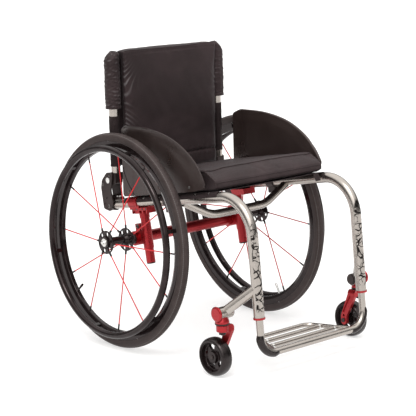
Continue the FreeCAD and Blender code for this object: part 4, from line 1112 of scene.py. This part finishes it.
def make_ferrule_bands():
    """Bright ferrules where the two foot bars meet the loop."""
    front = on_leg(0, 0, 62).y / MM
    meshes = []
    for back in (40.0, 81.0):
        half = 142 - 50 * back / 122
        for side in (-1, 1):
            at = frame_of(mm(side * (half - 15), front + back, 63), (side, 0, 0))
            meshes.append(turned([(6.52, 0), (6.9, 0.4), (6.9, 6), (6.52, 6.4)], at, 28))
    piece = new_object("foot_bar_ferrules", *add_up(*meshes))
    finish_piece(piece, "silver_metal", "footrest")


def make_fixings():
    """Screws and bolts on the red clamps and the back brackets."""
    for name, sign in SIDES:
        out = (sign, 0, 0)
        heads = [bolt(on_seat(sign * 200.0, back, -18), out, 2.7, 1.8, False) for back in (-45, -29, -5, 13)]
        heads.append(bolt(on_seat(sign * 183.0, 24.3, -66), out, 4.6, 3.2))
        for shift in (-9, 9):
            heads.append(bolt(on_seat(sign * 172.0 + shift, 58.4, -99), SEAT_BACK, 3.4, 2.6))
        for y, z, radius, height, washer in ((197, 375, 4.4, 2.6, True), (222, 434, 4.0, 2.4, True),
                                             (191, 461, 3.0, 2.0, False)):
            heads.append(bolt(mm(sign * 207.0, y, z), out, radius, height, washer))
        piece = new_object(f"fixings_{name}", *add_up(*heads))
        finish_piece(piece, "dark_steel", "frame")


def make_strap_tips():
    """Short ends of webbing that hang from the front of the seat sling, one on each side."""
    for name, sign in SIDES:
        rows = 14
        points = []
        for row in range(rows):
            share = row / (rows - 1)
            back, up = -344 - 7 * sin(share * 1.4), 15.5 - 21 * share
            for across, through in ((-9, 0), (-9, 1.5), (9, 1.5), (9, 0)):
                points.append(on_seat(sign * 160 + across, back - through, up))
        piece = new_object(f"sling_strap_{name}", points, capped_faces(rows, 4))
        finish_piece(piece, "black_webbing", "frame")


# ---- run

MATERIALS = {
    "titanium": titanium(),
    "titanium_engraved": titanium(engraved=True),
    "red_anodised": anodised("red_anodised", (0.37, 0.014, 0.019)),
    "red_spoke": plastic("red_spoke", (0.43, 0.006, 0.010), 0.4),
    "black_metal": plastic("black_metal", (0.0150, 0.0100, 0.0095), 0.36, 1500, 0.00003, 0.34),
    "black_gloss": gloss("black_gloss", (0.0085, 0.0058, 0.0058)),
    "dark_steel": polished("dark_steel", (0.16, 0.15, 0.145), 0.26),
    "silver_metal": polished("silver_metal", (0.78, 0.77, 0.75), 0.18),
    "tyre_rubber": rubber("tyre_rubber", (0.0300, 0.0220, 0.0208), 0.55, 0.32),
    "caster_rubber": rubber("caster_rubber", (0.0050, 0.0040, 0.0040), 0.24, 0.42),
    "black_plastic": plastic("black_plastic", (0.0145, 0.0095, 0.0088), 0.38),
    "guard_plastic": plastic("guard_plastic", (0.0170, 0.0110, 0.0098), 0.33, 700, 0.00003),
    "black_fabric": woven("black_fabric", (0.0150, 0.0088, 0.0096)),
    # Fabric with painted highlights along its puckers and creases.
    "fabric_with_painted_highlights": woven("fabric_with_painted_highlights", (0.0150, 0.0088, 0.0096), creased=True),
    "seat_fabric": woven("seat_fabric", (0.0190, 0.0118, 0.0125), 0.0017, 0.06, 0.55, 0.6),
    "black_webbing": woven("black_webbing", (0.0120, 0.0074, 0.0078), 0.0011, 0.02, 0.7),
}

# CAD pieces that are lacquered rather than in their slot's plain look.
GLOSSY = ("rim_", "handrim_", "hub_l", "hub_r", "spoke_nipples", "caster_wheel", "caster_bearings")


def dress_cad():
    """Gives every carried-over CAD piece its procedural material."""
    slots = {part["node"]: part["material_slot"] for part in frame["record"]["subparts"]}
    for name, node in frame["nodes"].items():
        finish = slots[name]
        if name.startswith("side_frame"):
            finish = "titanium_engraved"
        if name.startswith(GLOSSY):
            finish = "black_gloss"
        node.data.materials.clear()
        node.data.materials.append(MATERIALS[finish])


make_camera()
make_world()
make_sun()
make_floor()
dress_cad()
make_cushion()
make_sling()
make_back_pad()
make_upholstery()
for side_name, side_sign in SIDES:
    make_sleeve(side_name, side_sign)
    make_tyre(side_name)
    make_valve(side_name, side_sign)
    make_ferrules(side_name)
    make_caster_tyre(side_name)
    make_guard(side_name, side_sign)
make_bumpers()
make_ferrule_bands()
make_fixings()
make_strap_tips()
